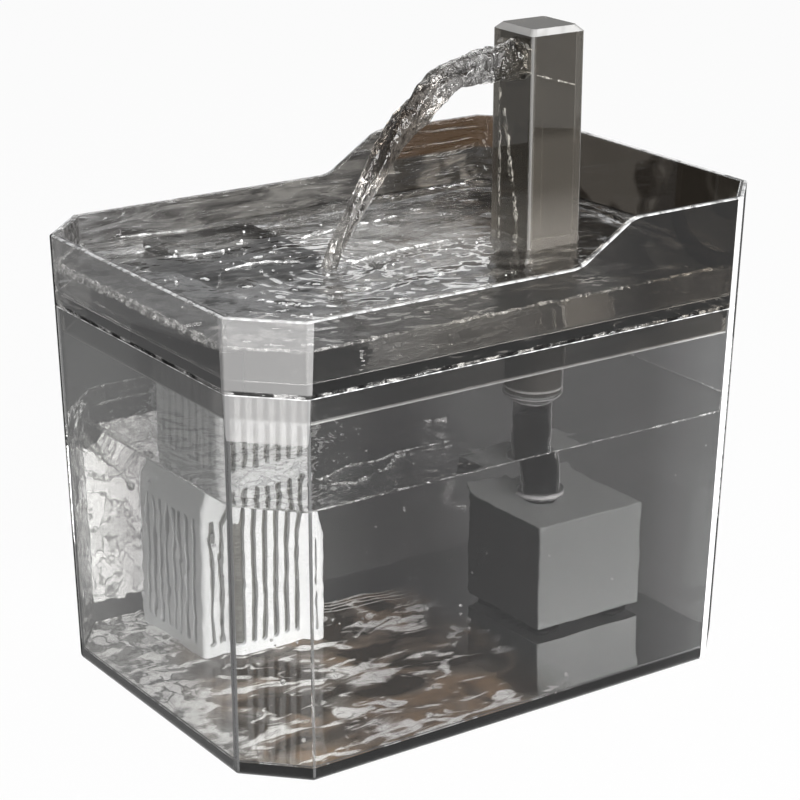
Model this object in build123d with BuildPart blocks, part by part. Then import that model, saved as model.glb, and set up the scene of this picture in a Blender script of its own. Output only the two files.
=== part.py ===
from build123d import *
from math import radians, sqrt, tan
import os

os.makedirs("parts", exist_ok=True)

# Frame: +Z up, origin at the bottom centre, drinking end towards -Y, faucet towards +Y.

# Tank, measured outside at its base
tank_length = 193.0
tank_width = 138.0
tank_height = 127.0
draft_slope = tan(radians(1.3))
wall = 2.5
floor_thickness = 4.0
front_cut = 18.0
rear_cut = 16.0
corner_radius = 1.2
base_radius = 3.0
mouth_radius = 0.5

# Drinking tray
tray_floor_top = 130.5
front_rim_height = 150.7
rear_rim_height = 164.0
ramp_start = 18.4
ramp_end = 39.2
ramp_radius = 12.0
rim_radius = 0.6
basin_radius = 2.0
lip_depth = 9.0
lip_gap = 0.5
lip_thickness = 2.0

# Faucet column and its round spigot
faucet_y = 56.0
column_side = 22.0
column_bore = 17.6
column_top = 212.0
column_roof = 2.4
column_bevel = 2.0
column_edge = 1.5
spigot_radius = 10.5
spigot_bore = 8.8
spigot_end = 82.0
spout_width = 17.0
spout_bottom = 195.0
spout_top = 207.4
spout_radius = 3.4
tray_hole_radius = 10.65
boss_radius = 13.5
boss_depth = 5.0
seal_radius = 0.5
seal_level = 125.0
groove_radius = 9.6

# Sloping chute inside the column
chute_rear_drop = 5.9
chute_thickness = 1.6
chute_port_width = 11.0
chute_port_length = 6.0

# Reducer under the column
sleeve_radius = 5.92
reducer_bore = 6.0
reducer_radius = 7.0
reducer_foot = 47.0
reducer_neck_top = 76.0
reducer_collar = 80.0
reducer_plug_top = 90.0
reducer_plug_bore = 7.2
foot_ring_radius = 8.4
foot_ring_height = 2.0

# Pump
pump_x = 2.0
pump_y = 61.0
pump_side = 45.0
pump_foot = 7.0
base_plate_thickness = 2.0
pump_top = 45.0
pump_wall = 1.8
rim_height = 2.0
rim_thickness = 1.2
snap_gap = 0.1
cup_spread = 15.0
cup_radius = 6.0
cup_neck_radius = 2.5
cup_stud_radius = 2.0
cup_hole_radius = 2.1
cup_hollow = 1.0
cup_edge = 0.6
intake_pitch = 4.0
intake_count = 5
intake_width = 2.0
intake_slot_length = 10.0
gland_x = -12.0
gland_z = 16.0
gland_neck = 3.1
gland_bore_radius = 1.7
gland_head_radius = 4.6
gland_head_depth = 2.0
gland_tail_radius = 4.2
gland_tail_depth = 1.4
sponge_gap = 0.3

# Impeller axis, which runs along Y, and the chamber around it
axis_x = 5.0
axis_z = 27.0
chamber_front = 50.5
chamber_rear = 62.5
chamber_wall = 1.5
chamber_bore = 10.5
chamber_flange_radius = 14.5
chamber_flange_depth = 2.0
intake_radius = 5.5
spider_hub_radius = 3.0
spider_rib = 1.4
nozzle_radius = 4.7
nozzle_bore = 3.2
nozzle_joint = 42.0
nozzle_top = 69.0
sleeve_top = 70.5
chamber_seal_outer = 13.8
chamber_seal_inner = 12.5
chamber_seal_depth = 1.3
chamber_seal_wire = 0.6

# Motor behind the chamber
motor_rear = 80.0
motor_low = 9.0
motor_high = 42.0
motor_half_width = 14.5
motor_wall = 1.2
rotor_bore = 6.5
cup_wall = 1.2
rotor_bore_end = 73.5
cup_end = 77.0
core_front = 65.0
core_depth = 9.0
core_leg_low = 13.0
core_leg_high = 17.0
coil_margin = 1.8
coil_length = 14.0
core_side = 5.1
resin_front = 77.4
resin_gap = 0.1

# Rotor, shaft and bushes
shaft_radius = 1.0
shaft_bore = 1.03
bush_radius = 2.2
bush_length = 1.6
hub_radius = 3.0
magnet_radius = 6.1
magnet_front = 63.4
magnet_length = 9.0
disc_front = 60.6
disc_thickness = 1.2
disc_radius = 9.4
blade_front = 55.2
blade_thickness = 1.2
blade_count = 6

# Filter box, which stands under the drain well
filter_x = -41.2
filter_y = -39.7
filter_width = 42.6
filter_depth = 35.2
filter_foot = 4.2
filter_top = 111.0
filter_wall = 1.6
filter_corner = 2.0
slot_width = 2.1
slot_pitch = 4.4
lower_slots = (8.0, 54.0)
upper_slots = (62.0, 104.0)
lid_thickness = 2.0
lid_plug = 2.6
lid_gap = 0.15
lid_slot_count = 6
lid_slot_length = 18.0
pad_gap = 0.3
cotton_thickness = 2.2
carbon_top = 58.0
resin_top = 103.0
well_gap = 1.9
well_wall = 1.4
well_bottom = 113.0
well_top = 138.0
well_corner = 1.5


def outline_points(level, inset):
    half_x = tank_width / 2 + level * draft_slope - inset
    half_y = tank_length / 2 + level * draft_slope - inset
    corner_share = inset * (2 - sqrt(2))
    front = front_cut - corner_share
    rear = rear_cut - corner_share
    return [
        (half_x - front, -half_y),
        (half_x, -half_y + front),
        (half_x, half_y - rear),
        (half_x - rear, half_y),
        (-half_x + rear, half_y),
        (-half_x, half_y - rear),
        (-half_x, -half_y + front),
        (-half_x + front, -half_y),
    ]


def outline_at(level, inset=0.0):
    with BuildSketch(Plane.XY.offset(level)) as outline:
        Polygon(*outline_points(level, inset), align=None)
    return outline.sketch


def drafted(low, high, inset=0.0, mode=Mode.ADD):
    loft(sections=[outline_at(low, inset), outline_at(high, inset)], mode=mode)


def save(piece, name):
    piece.part.label = name
    export_step(piece.part, f"parts/{name}.step")


# Plane across the impeller axis, seen from the front, with its normal towards -Y
def axis_plane(y_level):
    return Plane(origin=(axis_x, y_level, axis_z), x_dir=(1, 0, 0), z_dir=(0, -1, 0))


def axis_disc(y_front, y_rear, radius, mode=Mode.ADD, bore=0.0):
    with BuildSketch(axis_plane(y_rear)) as disc:
        Circle(radius)
        if bore > 0:
            Circle(bore, mode=Mode.SUBTRACT)
    extrude(disc.sketch, amount=y_rear - y_front, mode=mode)


faucet_plane = Plane(origin=(0, faucet_y, 0))
pump_plane = Plane(origin=(pump_x, pump_y, 0))
filter_plane = Plane(origin=(filter_x, filter_y, 0))


def ring_at(plane, low, high, outer, inner=0.0, mode=Mode.ADD):
    with BuildSketch(plane.offset(low)) as ring:
        Circle(outer)
        if inner > 0:
            Circle(inner, mode=Mode.SUBTRACT)
    extrude(ring.sketch, amount=high - low, mode=mode)


def block_at(plane, low, high, size, radius=0.0, mode=Mode.ADD):
    with BuildSketch(plane.offset(low)) as block:
        if radius > 0:
            RectangleRounded(size[0], size[1], radius)
        else:
            Rectangle(size[0], size[1])
    extrude(block.sketch, amount=high - low, mode=mode)


def upright_edges(piece, length):
    return piece.edges().filter_by(lambda edge: abs(edge.tangent_at(0.5).Z) > 0.9 and edge.length > length)


# Tank: eight-sided drafted shell with a thick floor
with BuildPart() as tank:
    drafted(0, tank_height)
    fillet(tank.faces().sort_by(Axis.Z)[0].edges(), radius=base_radius)
    fillet(upright_edges(tank, tank_height / 2), radius=corner_radius)
    drafted(floor_thickness, tank_height + 1, wall, Mode.SUBTRACT)
    fillet(tank.faces().filter_by(Axis.Z).sort_by(Axis.Z)[1].edges(), radius=base_radius / 2)
    fillet(tank.faces().sort_by(Axis.Z)[-1].edges(), radius=mouth_radius)
save(tank, "tank")

# Sizes that the tray works out from the filter box and the tank
well_size = (filter_width + 2 * well_gap, filter_depth + 2 * well_gap)
well_outer = (well_size[0] + 2 * well_wall, well_size[1] + 2 * well_wall)
lip_outer = wall + lip_gap
above_rims = rear_rim_height + 3 * wall


def rim_edges(piece):
    crest = piece.faces().filter_by(lambda face: face.normal_at().Z > 0.3 and face.center().Z > tray_floor_top + 1)
    crest_edges = crest.edges()
    return crest_edges.filter_by(lambda edge: sum(edge.is_same(other) for other in crest_edges) == 1)


def floor_edges(piece):
    return piece.edges().filter_by(lambda edge: abs(edge.bounding_box().max.Z - tray_floor_top) < 0.01)


# Drinking tray: basin, plug-in lip, drain well and the hole for the faucet
with BuildPart() as drinking_tray:
    drafted(tank_height, rear_rim_height)
    fillet(upright_edges(drinking_tray, wall), radius=corner_radius)
    drafted(tray_floor_top, rear_rim_height + 1, wall, Mode.SUBTRACT)
    with BuildSketch(Plane.YZ.offset(-tank_width)) as above_rim:
        with BuildLine():
            FilletPolyline(
                (-tank_length, front_rim_height),
                (ramp_start, front_rim_height),
                (ramp_end, rear_rim_height),
                (tank_length, rear_rim_height),
                radius=ramp_radius,
            )
            Polyline(
                (tank_length, rear_rim_height),
                (tank_length, above_rims),
                (-tank_length, above_rims),
                (-tank_length, front_rim_height),
            )
        make_face()
    extrude(above_rim.sketch, amount=2 * tank_width, mode=Mode.SUBTRACT)
    fillet(rim_edges(drinking_tray), radius=rim_radius)
    fillet(floor_edges(drinking_tray), radius=basin_radius)
    # Lip that drops inside the mouth of the tank
    drafted(tank_height - lip_depth, tank_height, lip_outer)
    drafted(tank_height - lip_depth - 1, tank_height, lip_outer + lip_thickness, Mode.SUBTRACT)
    # Drain well, whose upper edge is the weir that holds the water level
    block_at(filter_plane, well_bottom, well_top, well_outer, well_corner + well_wall)
    block_at(filter_plane, well_bottom - 1, well_top + 1, well_size, well_corner, Mode.SUBTRACT)
    # Boss and hole for the faucet spigot
    ring_at(faucet_plane, tank_height - boss_depth, tank_height, boss_radius)
    ring_at(
        faucet_plane, tank_height - boss_depth - 1, tray_floor_top + 1, tray_hole_radius, mode=Mode.SUBTRACT
    )
save(drinking_tray, "drinking_tray")


def square_at(level, bevel):
    side = column_side - 2 * bevel
    with BuildSketch(faucet_plane.offset(level)) as square:
        RectangleRounded(side, side, column_edge)
    return square.sketch


# Faucet column: square hollow post with a bevelled roof over a round spigot
with BuildPart() as faucet_column:
    block_at(
        faucet_plane, tray_floor_top, column_top - column_bevel, (column_side, column_side), column_edge
    )
    loft(sections=[square_at(column_top - column_bevel, 0), square_at(column_top, column_bevel)])
    ring_at(faucet_plane, spigot_end, tray_floor_top, spigot_radius)
    block_at(
        faucet_plane,
        tray_floor_top,
        column_top - column_roof,
        (column_bore, column_bore),
        column_edge / 2,
        Mode.SUBTRACT,
    )
    ring_at(faucet_plane, spigot_end - 1, tray_floor_top, spigot_bore, mode=Mode.SUBTRACT)
    with BuildSketch(Plane.XZ.offset(-faucet_y)) as spout_hole:
        with Locations((0, (spout_bottom + spout_top) / 2)):
            RectangleRounded(spout_width, spout_top - spout_bottom, spout_radius)
    extrude(spout_hole.sketch, amount=column_side, mode=Mode.SUBTRACT)
    # Groove of the seal ring
    ring_at(
        faucet_plane,
        seal_level - seal_radius - snap_gap,
        seal_level + seal_radius + snap_gap,
        spigot_radius + 1,
        groove_radius,
        Mode.SUBTRACT,
    )
save(faucet_column, "faucet_column")

# Sloping chute that turns the rising water out of the spout
chute_length = column_bore - 2 * snap_gap
chute_front = faucet_y - column_bore / 2 + snap_gap
with BuildPart() as outlet_chute:
    with BuildSketch(Plane.YZ.offset(-chute_length / 2)) as chute_profile:
        with BuildLine():
            Polyline(
                (chute_front, spout_bottom + chute_thickness),
                (chute_front + chute_length, spout_bottom + chute_thickness - chute_rear_drop),
                (chute_front + chute_length, spout_bottom - chute_rear_drop),
                (chute_front, spout_bottom),
                close=True,
            )
        make_face()
    extrude(chute_profile.sketch, amount=chute_length)
    fillet(upright_edges(outlet_chute, chute_thickness / 2), radius=column_edge / 2)
    port_plane = Plane(origin=(0, faucet_y + chute_length / 4, 0))
    block_at(
        port_plane,
        spout_bottom - 2 * chute_rear_drop,
        spout_bottom + chute_rear_drop,
        (chute_port_width, chute_port_length),
        chute_thickness,
        Mode.SUBTRACT,
    )
save(outlet_chute, "outlet_chute")

# Seal ring between the spigot and the tray
with BuildPart() as spigot_seal:
    with Locations((0, faucet_y, seal_level)):
        Torus(groove_radius + seal_radius, seal_radius)
save(spigot_seal, "spigot_seal")

# Reducer that closes the spigot and slips over the rubber sleeve
with BuildPart() as faucet_reducer:
    with BuildSketch(Plane.XZ) as reducer_profile:
        with BuildLine():
            Polyline(
                (reducer_bore, reducer_foot),
                (foot_ring_radius, reducer_foot),
                (foot_ring_radius, reducer_foot + foot_ring_height),
                (reducer_radius, reducer_foot + foot_ring_height),
                (reducer_radius, reducer_neck_top),
                (spigot_radius, reducer_collar),
                (spigot_radius, spigot_end),
                (spigot_bore - snap_gap, spigot_end),
                (spigot_bore - snap_gap, reducer_plug_top),
                (reducer_plug_bore, reducer_plug_top),
                (reducer_plug_bore, reducer_collar),
                (reducer_bore, reducer_neck_top),
                close=True,
            )
        make_face()
    revolve(reducer_profile.sketch, axis=Axis.Z)
faucet_reducer.part.locate(Location((0, faucet_y, 0)))
save(faucet_reducer, "faucet_reducer")

# Pump cover: five-sided cube with intake slots on the side away from the drinker
cover_low = pump_foot + base_plate_thickness
inner_side = pump_side - 2 * pump_wall
with BuildPart() as pump_cover:
    block_at(pump_plane, cover_low, pump_top, (pump_side, pump_side), 1.0)
    fillet(pump_cover.faces().sort_by(Axis.Z)[-1].edges(), radius=0.6)
    block_at(pump_plane, cover_low, pump_top - pump_wall, (inner_side, inner_side), mode=Mode.SUBTRACT)
    ring_at(faucet_plane, pump_top - 2 * pump_wall, pump_top + 1, nozzle_radius + snap_gap, mode=Mode.SUBTRACT)
    # Intake slots
    with BuildSketch(Plane.YZ.offset(pump_x - pump_side / 2 - 1)) as intake_slots:
        with Locations((chamber_front, (cover_low + pump_top) / 2)):
            with GridLocations(intake_pitch, 0, intake_count, 1):
                SlotOverall(pump_side / 2, intake_width, rotation=90)
    extrude(intake_slots.sketch, amount=2 * pump_wall, mode=Mode.SUBTRACT)
    # Hole of the cable gland
    with BuildSketch(Plane.XZ.offset(-pump_y)) as gland_hole:
        with Locations((gland_x, gland_z)):
            Circle(gland_neck + snap_gap / 2)
    extrude(gland_hole.sketch, amount=-pump_side, mode=Mode.SUBTRACT)
save(pump_cover, "pump_cover")

# Base plate with its snap rim, intake slots and the holes of the suction cups
rim_side = inner_side - 2 * snap_gap
with BuildPart() as pump_base:
    block_at(pump_plane, pump_foot, cover_low, (pump_side, pump_side), 1.0)
    block_at(pump_plane, cover_low, cover_low + rim_height, (rim_side, rim_side))
    block_at(
        pump_plane,
        cover_low,
        cover_low + rim_height,
        (rim_side - 2 * rim_thickness, rim_side - 2 * rim_thickness),
        mode=Mode.SUBTRACT,
    )
    with BuildSketch(Plane.XY.offset(pump_foot - 1)) as base_slots:
        with Locations((pump_x, chamber_front - intake_pitch)):
            with GridLocations(intake_pitch, 0, intake_count, 1):
                SlotOverall(intake_slot_length, intake_width, rotation=90)
    extrude(base_slots.sketch, amount=base_plate_thickness + 1, mode=Mode.SUBTRACT)
    with BuildSketch(Plane.XY.offset(pump_foot)) as stud_holes:
        with Locations((pump_x, pump_y)):
            with GridLocations(2 * cup_spread, 2 * cup_spread, 2, 2):
                Circle(cup_hole_radius)
    extrude(stud_holes.sketch, amount=base_plate_thickness, mode=Mode.SUBTRACT)
save(pump_base, "pump_base")

# Suction cups: thin hollow bells with a neck and a stud
with BuildPart() as cup:
    with BuildSketch(Plane.XZ) as cup_profile:
        with BuildLine():
            Polyline(
                (0, floor_thickness + cup_hollow),
                (cup_radius - cup_edge, floor_thickness),
                (cup_radius, floor_thickness),
                (cup_radius, floor_thickness + cup_edge),
                (cup_neck_radius, pump_foot - cup_edge),
                (cup_neck_radius, pump_foot),
                (cup_stud_radius, pump_foot),
                (cup_stud_radius, cover_low),
                (0, cover_low),
                close=True,
            )
        make_face()
    revolve(cup_profile.sketch, axis=Axis.Z)

with BuildPart() as suction_cups:
    with Locations((pump_x, pump_y)):
        with GridLocations(2 * cup_spread, 2 * cup_spread, 2, 2):
            add(cup.part)
save(suction_cups, "suction_cups")

# Cable gland in the rear wall of the cover
rear_face = pump_y + pump_side / 2
with BuildPart() as cable_gland:
    with BuildSketch(Plane.XZ.offset(-(rear_face + gland_head_depth))) as gland_head:
        with Locations((gland_x, gland_z)):
            Circle(gland_head_radius)
    extrude(gland_head.sketch, amount=gland_head_depth)
    with BuildSketch(Plane.XZ.offset(-rear_face)) as gland_body:
        with Locations((gland_x, gland_z)):
            Circle(gland_neck)
    extrude(gland_body.sketch, amount=pump_wall)
    with BuildSketch(Plane.XZ.offset(-(rear_face - pump_wall))) as gland_tail:
        with Locations((gland_x, gland_z)):
            Circle(gland_tail_radius)
    extrude(gland_tail.sketch, amount=gland_tail_depth)
    with BuildSketch(Plane.XZ.offset(-(rear_face + gland_head_depth))) as gland_bore:
        with Locations((gland_x, gland_z)):
            Circle(gland_bore_radius)
    extrude(gland_bore.sketch, amount=pump_side, mode=Mode.SUBTRACT)
save(cable_gland, "cable_gland")

# Impeller chamber with its nozzle stub and the spider that carries the front bush
with BuildPart() as impeller_chamber:
    axis_disc(chamber_front, chamber_rear, chamber_bore + chamber_wall)
    axis_disc(chamber_rear - chamber_flange_depth, chamber_rear, chamber_flange_radius)
    ring_at(faucet_plane, axis_z, nozzle_joint, nozzle_radius)
    axis_disc(chamber_front + chamber_wall, chamber_rear, chamber_bore, Mode.SUBTRACT)
    ring_at(faucet_plane, axis_z, nozzle_joint, nozzle_bore, mode=Mode.SUBTRACT)
    axis_disc(chamber_front - 1, chamber_front + chamber_wall, intake_radius, Mode.SUBTRACT)
    axis_disc(chamber_front, chamber_front + bush_length + 1, spider_hub_radius)
    with BuildSketch(axis_plane(chamber_front + chamber_wall)) as spider:
        with PolarLocations(intake_radius / 2 + spider_hub_radius / 2, 3):
            Rectangle(intake_radius, spider_rib)
    extrude(spider.sketch, amount=chamber_wall)
    axis_disc(chamber_front + 1, chamber_front + bush_length + 2, bush_radius, Mode.SUBTRACT)
    # Groove of the chamber seal
    axis_disc(
        chamber_rear - chamber_seal_depth,
        chamber_rear,
        chamber_seal_outer,
        Mode.SUBTRACT,
        chamber_seal_inner,
    )
save(impeller_chamber, "impeller_chamber")

# Upright nozzle on the stub of the chamber
with BuildPart() as outlet_nozzle:
    ring_at(faucet_plane, nozzle_joint, nozzle_top, nozzle_radius, nozzle_bore)
save(outlet_nozzle, "outlet_nozzle")

chamber_seal_mid = (chamber_seal_outer + chamber_seal_inner) / 2
with BuildPart() as chamber_seal:
    with Locations(axis_plane(chamber_rear - chamber_seal_wire)):
        Torus(chamber_seal_mid, chamber_seal_wire)
save(chamber_seal, "chamber_seal")

# Black rubber sleeve on the nozzle
with BuildPart() as outlet_sleeve:
    ring_at(faucet_plane, pump_top + snap_gap, sleeve_top, sleeve_radius, nozzle_radius + snap_gap / 2)
save(outlet_sleeve, "outlet_sleeve")

# Motor shell: open at the rear, with a closed cup for the rotor
motor_middle = (motor_low + motor_high) / 2 - axis_z


def motor_block(y_front, y_rear, margin, mode=Mode.ADD):
    side_x = 2 * (motor_half_width - margin)
    side_z = motor_high - motor_low - 2 * margin
    with BuildSketch(axis_plane(y_rear)) as block:
        with Locations((0, motor_middle)):
            Rectangle(side_x, side_z)
    extrude(block.sketch, amount=y_rear - y_front, mode=mode)


with BuildPart() as motor_shell:
    motor_block(chamber_rear, motor_rear, 0)
    motor_block(chamber_rear + motor_wall, motor_rear, motor_wall, Mode.SUBTRACT)
    axis_disc(chamber_rear, cup_end, rotor_bore + cup_wall)
    axis_disc(chamber_rear, rotor_bore_end, rotor_bore, Mode.SUBTRACT)
    axis_disc(rotor_bore_end, rotor_bore_end + bush_length, bush_radius, Mode.SUBTRACT)
save(motor_shell, "motor_shell")

# Laminated core: a loop around the cup, with a lower leg that carries the coil
core_width = 2 * (motor_half_width - motor_wall - 1)
core_high = motor_high - motor_wall - 1
window_width = core_width - 2 * core_side
with BuildPart() as stator_core:
    with BuildSketch(axis_plane(core_front + core_depth)) as lamination:
        with Locations((0, (core_leg_low + core_high) / 2 - axis_z)):
            Rectangle(core_width, core_high - core_leg_low)
        Circle(rotor_bore + cup_wall + snap_gap, mode=Mode.SUBTRACT)
        with Locations((0, (core_leg_high - axis_z) / 2)):
            Rectangle(window_width, axis_z - core_leg_high, mode=Mode.SUBTRACT)
    extrude(lamination.sketch, amount=core_depth)
save(stator_core, "stator_core")

# Coil wound around the lower leg
coil_low = core_leg_low - coil_margin
coil_high = core_leg_high + coil_margin
with BuildPart() as stator_coil:
    with BuildSketch(Plane.YZ.offset(axis_x - coil_length / 2)) as turns:
        with Locations((core_front + core_depth / 2, (coil_low + coil_high) / 2)):
            Rectangle(core_depth + coil_margin, coil_high - coil_low)
            Rectangle(core_depth + snap_gap, core_leg_high - core_leg_low + snap_gap, mode=Mode.SUBTRACT)
    extrude(turns.sketch, amount=coil_length)
save(stator_coil, "stator_coil")

# Resin plate that seals the open end of the motor shell
with BuildPart() as potting_resin:
    motor_block(resin_front, motor_rear - resin_gap, motor_wall + resin_gap)
save(potting_resin, "potting_resin")

# Impeller: radial blades on a disc, with a hub that carries the magnet
with BuildPart() as impeller:
    axis_disc(disc_front, disc_front + disc_thickness, disc_radius)
    axis_disc(blade_front, rotor_bore_end - snap_gap, hub_radius)
    with BuildSketch(axis_plane(disc_front)) as blades:
        with PolarLocations((disc_radius + hub_radius / 2) / 2, blade_count):
            Rectangle(disc_radius - hub_radius / 2, blade_thickness)
    extrude(blades.sketch, amount=disc_front - blade_front)
    axis_disc(blade_front - 1, rotor_bore_end, shaft_bore, Mode.SUBTRACT)
save(impeller, "impeller")

with BuildPart() as rotor_magnet:
    axis_disc(magnet_front, magnet_front + magnet_length, magnet_radius, bore=hub_radius)
save(rotor_magnet, "rotor_magnet")

with BuildPart() as impeller_shaft:
    axis_disc(chamber_front + 1, rotor_bore_end + bush_length, shaft_radius)
save(impeller_shaft, "impeller_shaft")

with BuildPart() as shaft_bushes:
    for bush_front in (chamber_front + 1, rotor_bore_end):
        axis_disc(bush_front, bush_front + bush_length, bush_radius, bore=shaft_radius)
save(shaft_bushes, "shaft_bushes")

# Foam block in front of the intake
with BuildPart() as prefilter_sponge:
    sponge_depth = chamber_front - (pump_y - inner_side / 2) - 2 * sponge_gap
    sponge_plane = Plane(origin=(pump_x, pump_y - inner_side / 2 + sponge_gap + sponge_depth / 2, 0))
    block_at(
        sponge_plane,
        cover_low + rim_height + sponge_gap,
        pump_top - pump_wall - sponge_gap,
        (inner_side - 2 * sponge_gap, sponge_depth),
        1.0,
    )
save(prefilter_sponge, "prefilter_sponge")

# Filter box: open-topped, slatted on all four sides in two rows
box_inner = (filter_width - 2 * filter_wall, filter_depth - 2 * filter_wall)
slot_rows = (lower_slots, upper_slots)
wide_count = int((filter_width - slot_pitch) / slot_pitch)
narrow_count = int((filter_depth - slot_pitch) / slot_pitch)
with BuildPart() as filter_box:
    block_at(filter_plane, filter_foot, filter_top, (filter_width, filter_depth), filter_corner)
    block_at(filter_plane, filter_foot + filter_wall, filter_top, box_inner, mode=Mode.SUBTRACT)
    for row_low, row_high in slot_rows:
        row_middle = (row_low + row_high) / 2
        with BuildSketch(Plane.XZ.offset(-(filter_y + filter_depth))) as front_slots:
            with Locations((filter_x, row_middle)):
                with GridLocations(slot_pitch, 0, wide_count, 1):
                    SlotOverall(row_high - row_low, slot_width, rotation=90)
        extrude(front_slots.sketch, amount=2 * filter_depth, mode=Mode.SUBTRACT)
        with BuildSketch(Plane.YZ.offset(filter_x - filter_width)) as side_slots:
            with Locations((filter_y, row_middle)):
                with GridLocations(slot_pitch, 0, narrow_count, 1):
                    SlotOverall(row_high - row_low, slot_width, rotation=90)
        extrude(side_slots.sketch, amount=2 * filter_width, mode=Mode.SUBTRACT)
save(filter_box, "filter_box")

# Lid with inlet slots and a plug that drops inside the box
with BuildPart() as filter_lid:
    block_at(filter_plane, filter_top, filter_top + lid_thickness, (filter_width, filter_depth), filter_corner)
    block_at(
        filter_plane,
        filter_top - lid_plug,
        filter_top,
        (box_inner[0] - 2 * lid_gap, box_inner[1] - 2 * lid_gap),
    )
    with BuildSketch(filter_plane.offset(filter_top - lid_plug - 1)) as inlet_slots:
        with GridLocations(slot_pitch, 0, lid_slot_count, 1):
            SlotOverall(lid_slot_length, slot_width, rotation=90)
    extrude(inlet_slots.sketch, amount=2 * lid_plug + lid_thickness, mode=Mode.SUBTRACT)
save(filter_lid, "filter_lid")

# Filter media: a cotton sleeve, activated carbon below and softening resin above
cotton_size = (box_inner[0] - 2 * pad_gap, box_inner[1] - 2 * pad_gap)
media_size = (cotton_size[0] - 2 * cotton_thickness - pad_gap, cotton_size[1] - 2 * cotton_thickness - pad_gap)
media_foot = filter_foot + filter_wall + pad_gap
with BuildPart() as filter_cotton:
    block_at(filter_plane, media_foot, resin_top, cotton_size)
    block_at(
        filter_plane,
        media_foot + cotton_thickness,
        resin_top,
        (media_size[0] + pad_gap, media_size[1] + pad_gap),
        mode=Mode.SUBTRACT,
    )
save(filter_cotton, "filter_cotton")

with BuildPart() as carbon_pad:
    block_at(filter_plane, media_foot + cotton_thickness, carbon_top, media_size)
save(carbon_pad, "carbon_pad")

with BuildPart() as resin_pad:
    block_at(filter_plane, carbon_top, resin_top, media_size)
save(resin_pad, "resin_pad")
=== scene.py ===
import math
import random

import bmesh
import bpy
from mathutils import Matrix, Vector, noise


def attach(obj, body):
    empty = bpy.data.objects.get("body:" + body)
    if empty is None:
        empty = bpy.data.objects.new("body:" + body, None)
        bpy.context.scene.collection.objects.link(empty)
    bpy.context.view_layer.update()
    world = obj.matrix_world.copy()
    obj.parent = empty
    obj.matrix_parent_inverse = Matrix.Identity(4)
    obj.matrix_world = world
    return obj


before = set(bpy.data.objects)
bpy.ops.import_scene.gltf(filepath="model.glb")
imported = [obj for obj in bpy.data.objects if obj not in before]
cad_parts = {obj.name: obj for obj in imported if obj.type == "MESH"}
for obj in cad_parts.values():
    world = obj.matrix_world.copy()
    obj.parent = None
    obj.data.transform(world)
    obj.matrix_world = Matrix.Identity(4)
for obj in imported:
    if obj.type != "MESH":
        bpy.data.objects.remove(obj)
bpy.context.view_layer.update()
scene = bpy.context.scene
scene.view_settings.view_transform = "Standard"
scene.cycles.max_bounces = 28
scene.cycles.transmission_bounces = 28
scene.cycles.glossy_bounces = 20
scene.cycles.transparent_max_bounces = 24
print("frame loaded:", len(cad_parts), "nodes")


# Small tools

mm = 0.001
white = (1, 1, 1, 1)


def hexColour(text):  # sRGB hex to the linear colour that the shaders want
    channels = [int(text[i : i + 2], 16) / 255 for i in (1, 3, 5)]
    return [c / 12.92 if c <= 0.04045 else ((c + 0.055) / 1.055) ** 2.4 for c in channels] + [1.0]


def addNode(tree, kind, inputs=None, **settings):
    node = tree.nodes.new(kind)
    for name, value in settings.items():
        setattr(node, name, value)
    for key, value in (inputs or {}).items():
        if isinstance(value, bpy.types.NodeSocket):
            tree.links.new(value, node.inputs[key])
        else:
            node.inputs[key].default_value = value
    return node


def newMaterial(name):
    material = bpy.data.materials.new(name)
    material.use_nodes = True
    material.node_tree.nodes.clear()
    return material, material.node_tree


def finishMaterial(tree, shader):
    addNode(tree, "ShaderNodeOutputMaterial", {"Surface": shader})


def placeOn(tree):  # where the point lies on its piece
    return addNode(tree, "ShaderNodeTexCoord").outputs["Object"]


def placeAxes(tree):  # the same as outputs X, Y and Z
    return addNode(tree, "ShaderNodeSeparateXYZ", {"Vector": placeOn(tree)}).outputs


def faceAxes(tree, size=False):  # the way the face looks, or its size along each axis: outputs X, Y and Z
    look = addNode(tree, "ShaderNodeNewGeometry").outputs["True Normal"]
    if size:
        look = addNode(tree, "ShaderNodeVectorMath", {0: look}, operation="ABSOLUTE").outputs[0]
    return addNode(tree, "ShaderNodeSeparateXYZ", {"Vector": look}).outputs


def measured(tree, direction):  # how far the point lies along a direction
    inputs = {0: placeOn(tree), 1: direction}
    return addNode(tree, "ShaderNodeVectorMath", inputs, operation="DOT_PRODUCT").outputs["Value"]


def farFrom(tree, centreMm):  # distance of the point from a centre
    inputs = {0: placeOn(tree), 1: [c * mm for c in centreMm]}
    return addNode(tree, "ShaderNodeVectorMath", inputs, operation="DISTANCE").outputs["Value"]


def folded(tree, operation, values):  # one value after another, joined by the same sum
    total = values[0]
    for value in values[1:]:
        total = addNode(tree, "ShaderNodeMath", {0: total, 1: value}, operation=operation).outputs[0]
    return total


def overlap(tree, *masks):  # strong only where every mask is
    return folded(tree, "MULTIPLY", masks)


def strongest(tree, *masks):  # strong wherever one of the masks is
    return folded(tree, "MAXIMUM", masks)


def grainNoise(tree, sizeMm, detail=2.0, stretch=(1, 1, 1), distortion=0.0):  # with features of this size
    mapped = addNode(tree, "ShaderNodeMapping", {"Vector": placeOn(tree), "Scale": stretch}).outputs["Vector"]
    inputs = {"Vector": mapped, "Scale": 1 / (sizeMm * mm), "Detail": detail, "Distortion": distortion}
    return addNode(tree, "ShaderNodeTexNoise", inputs).outputs["Fac"]


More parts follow.
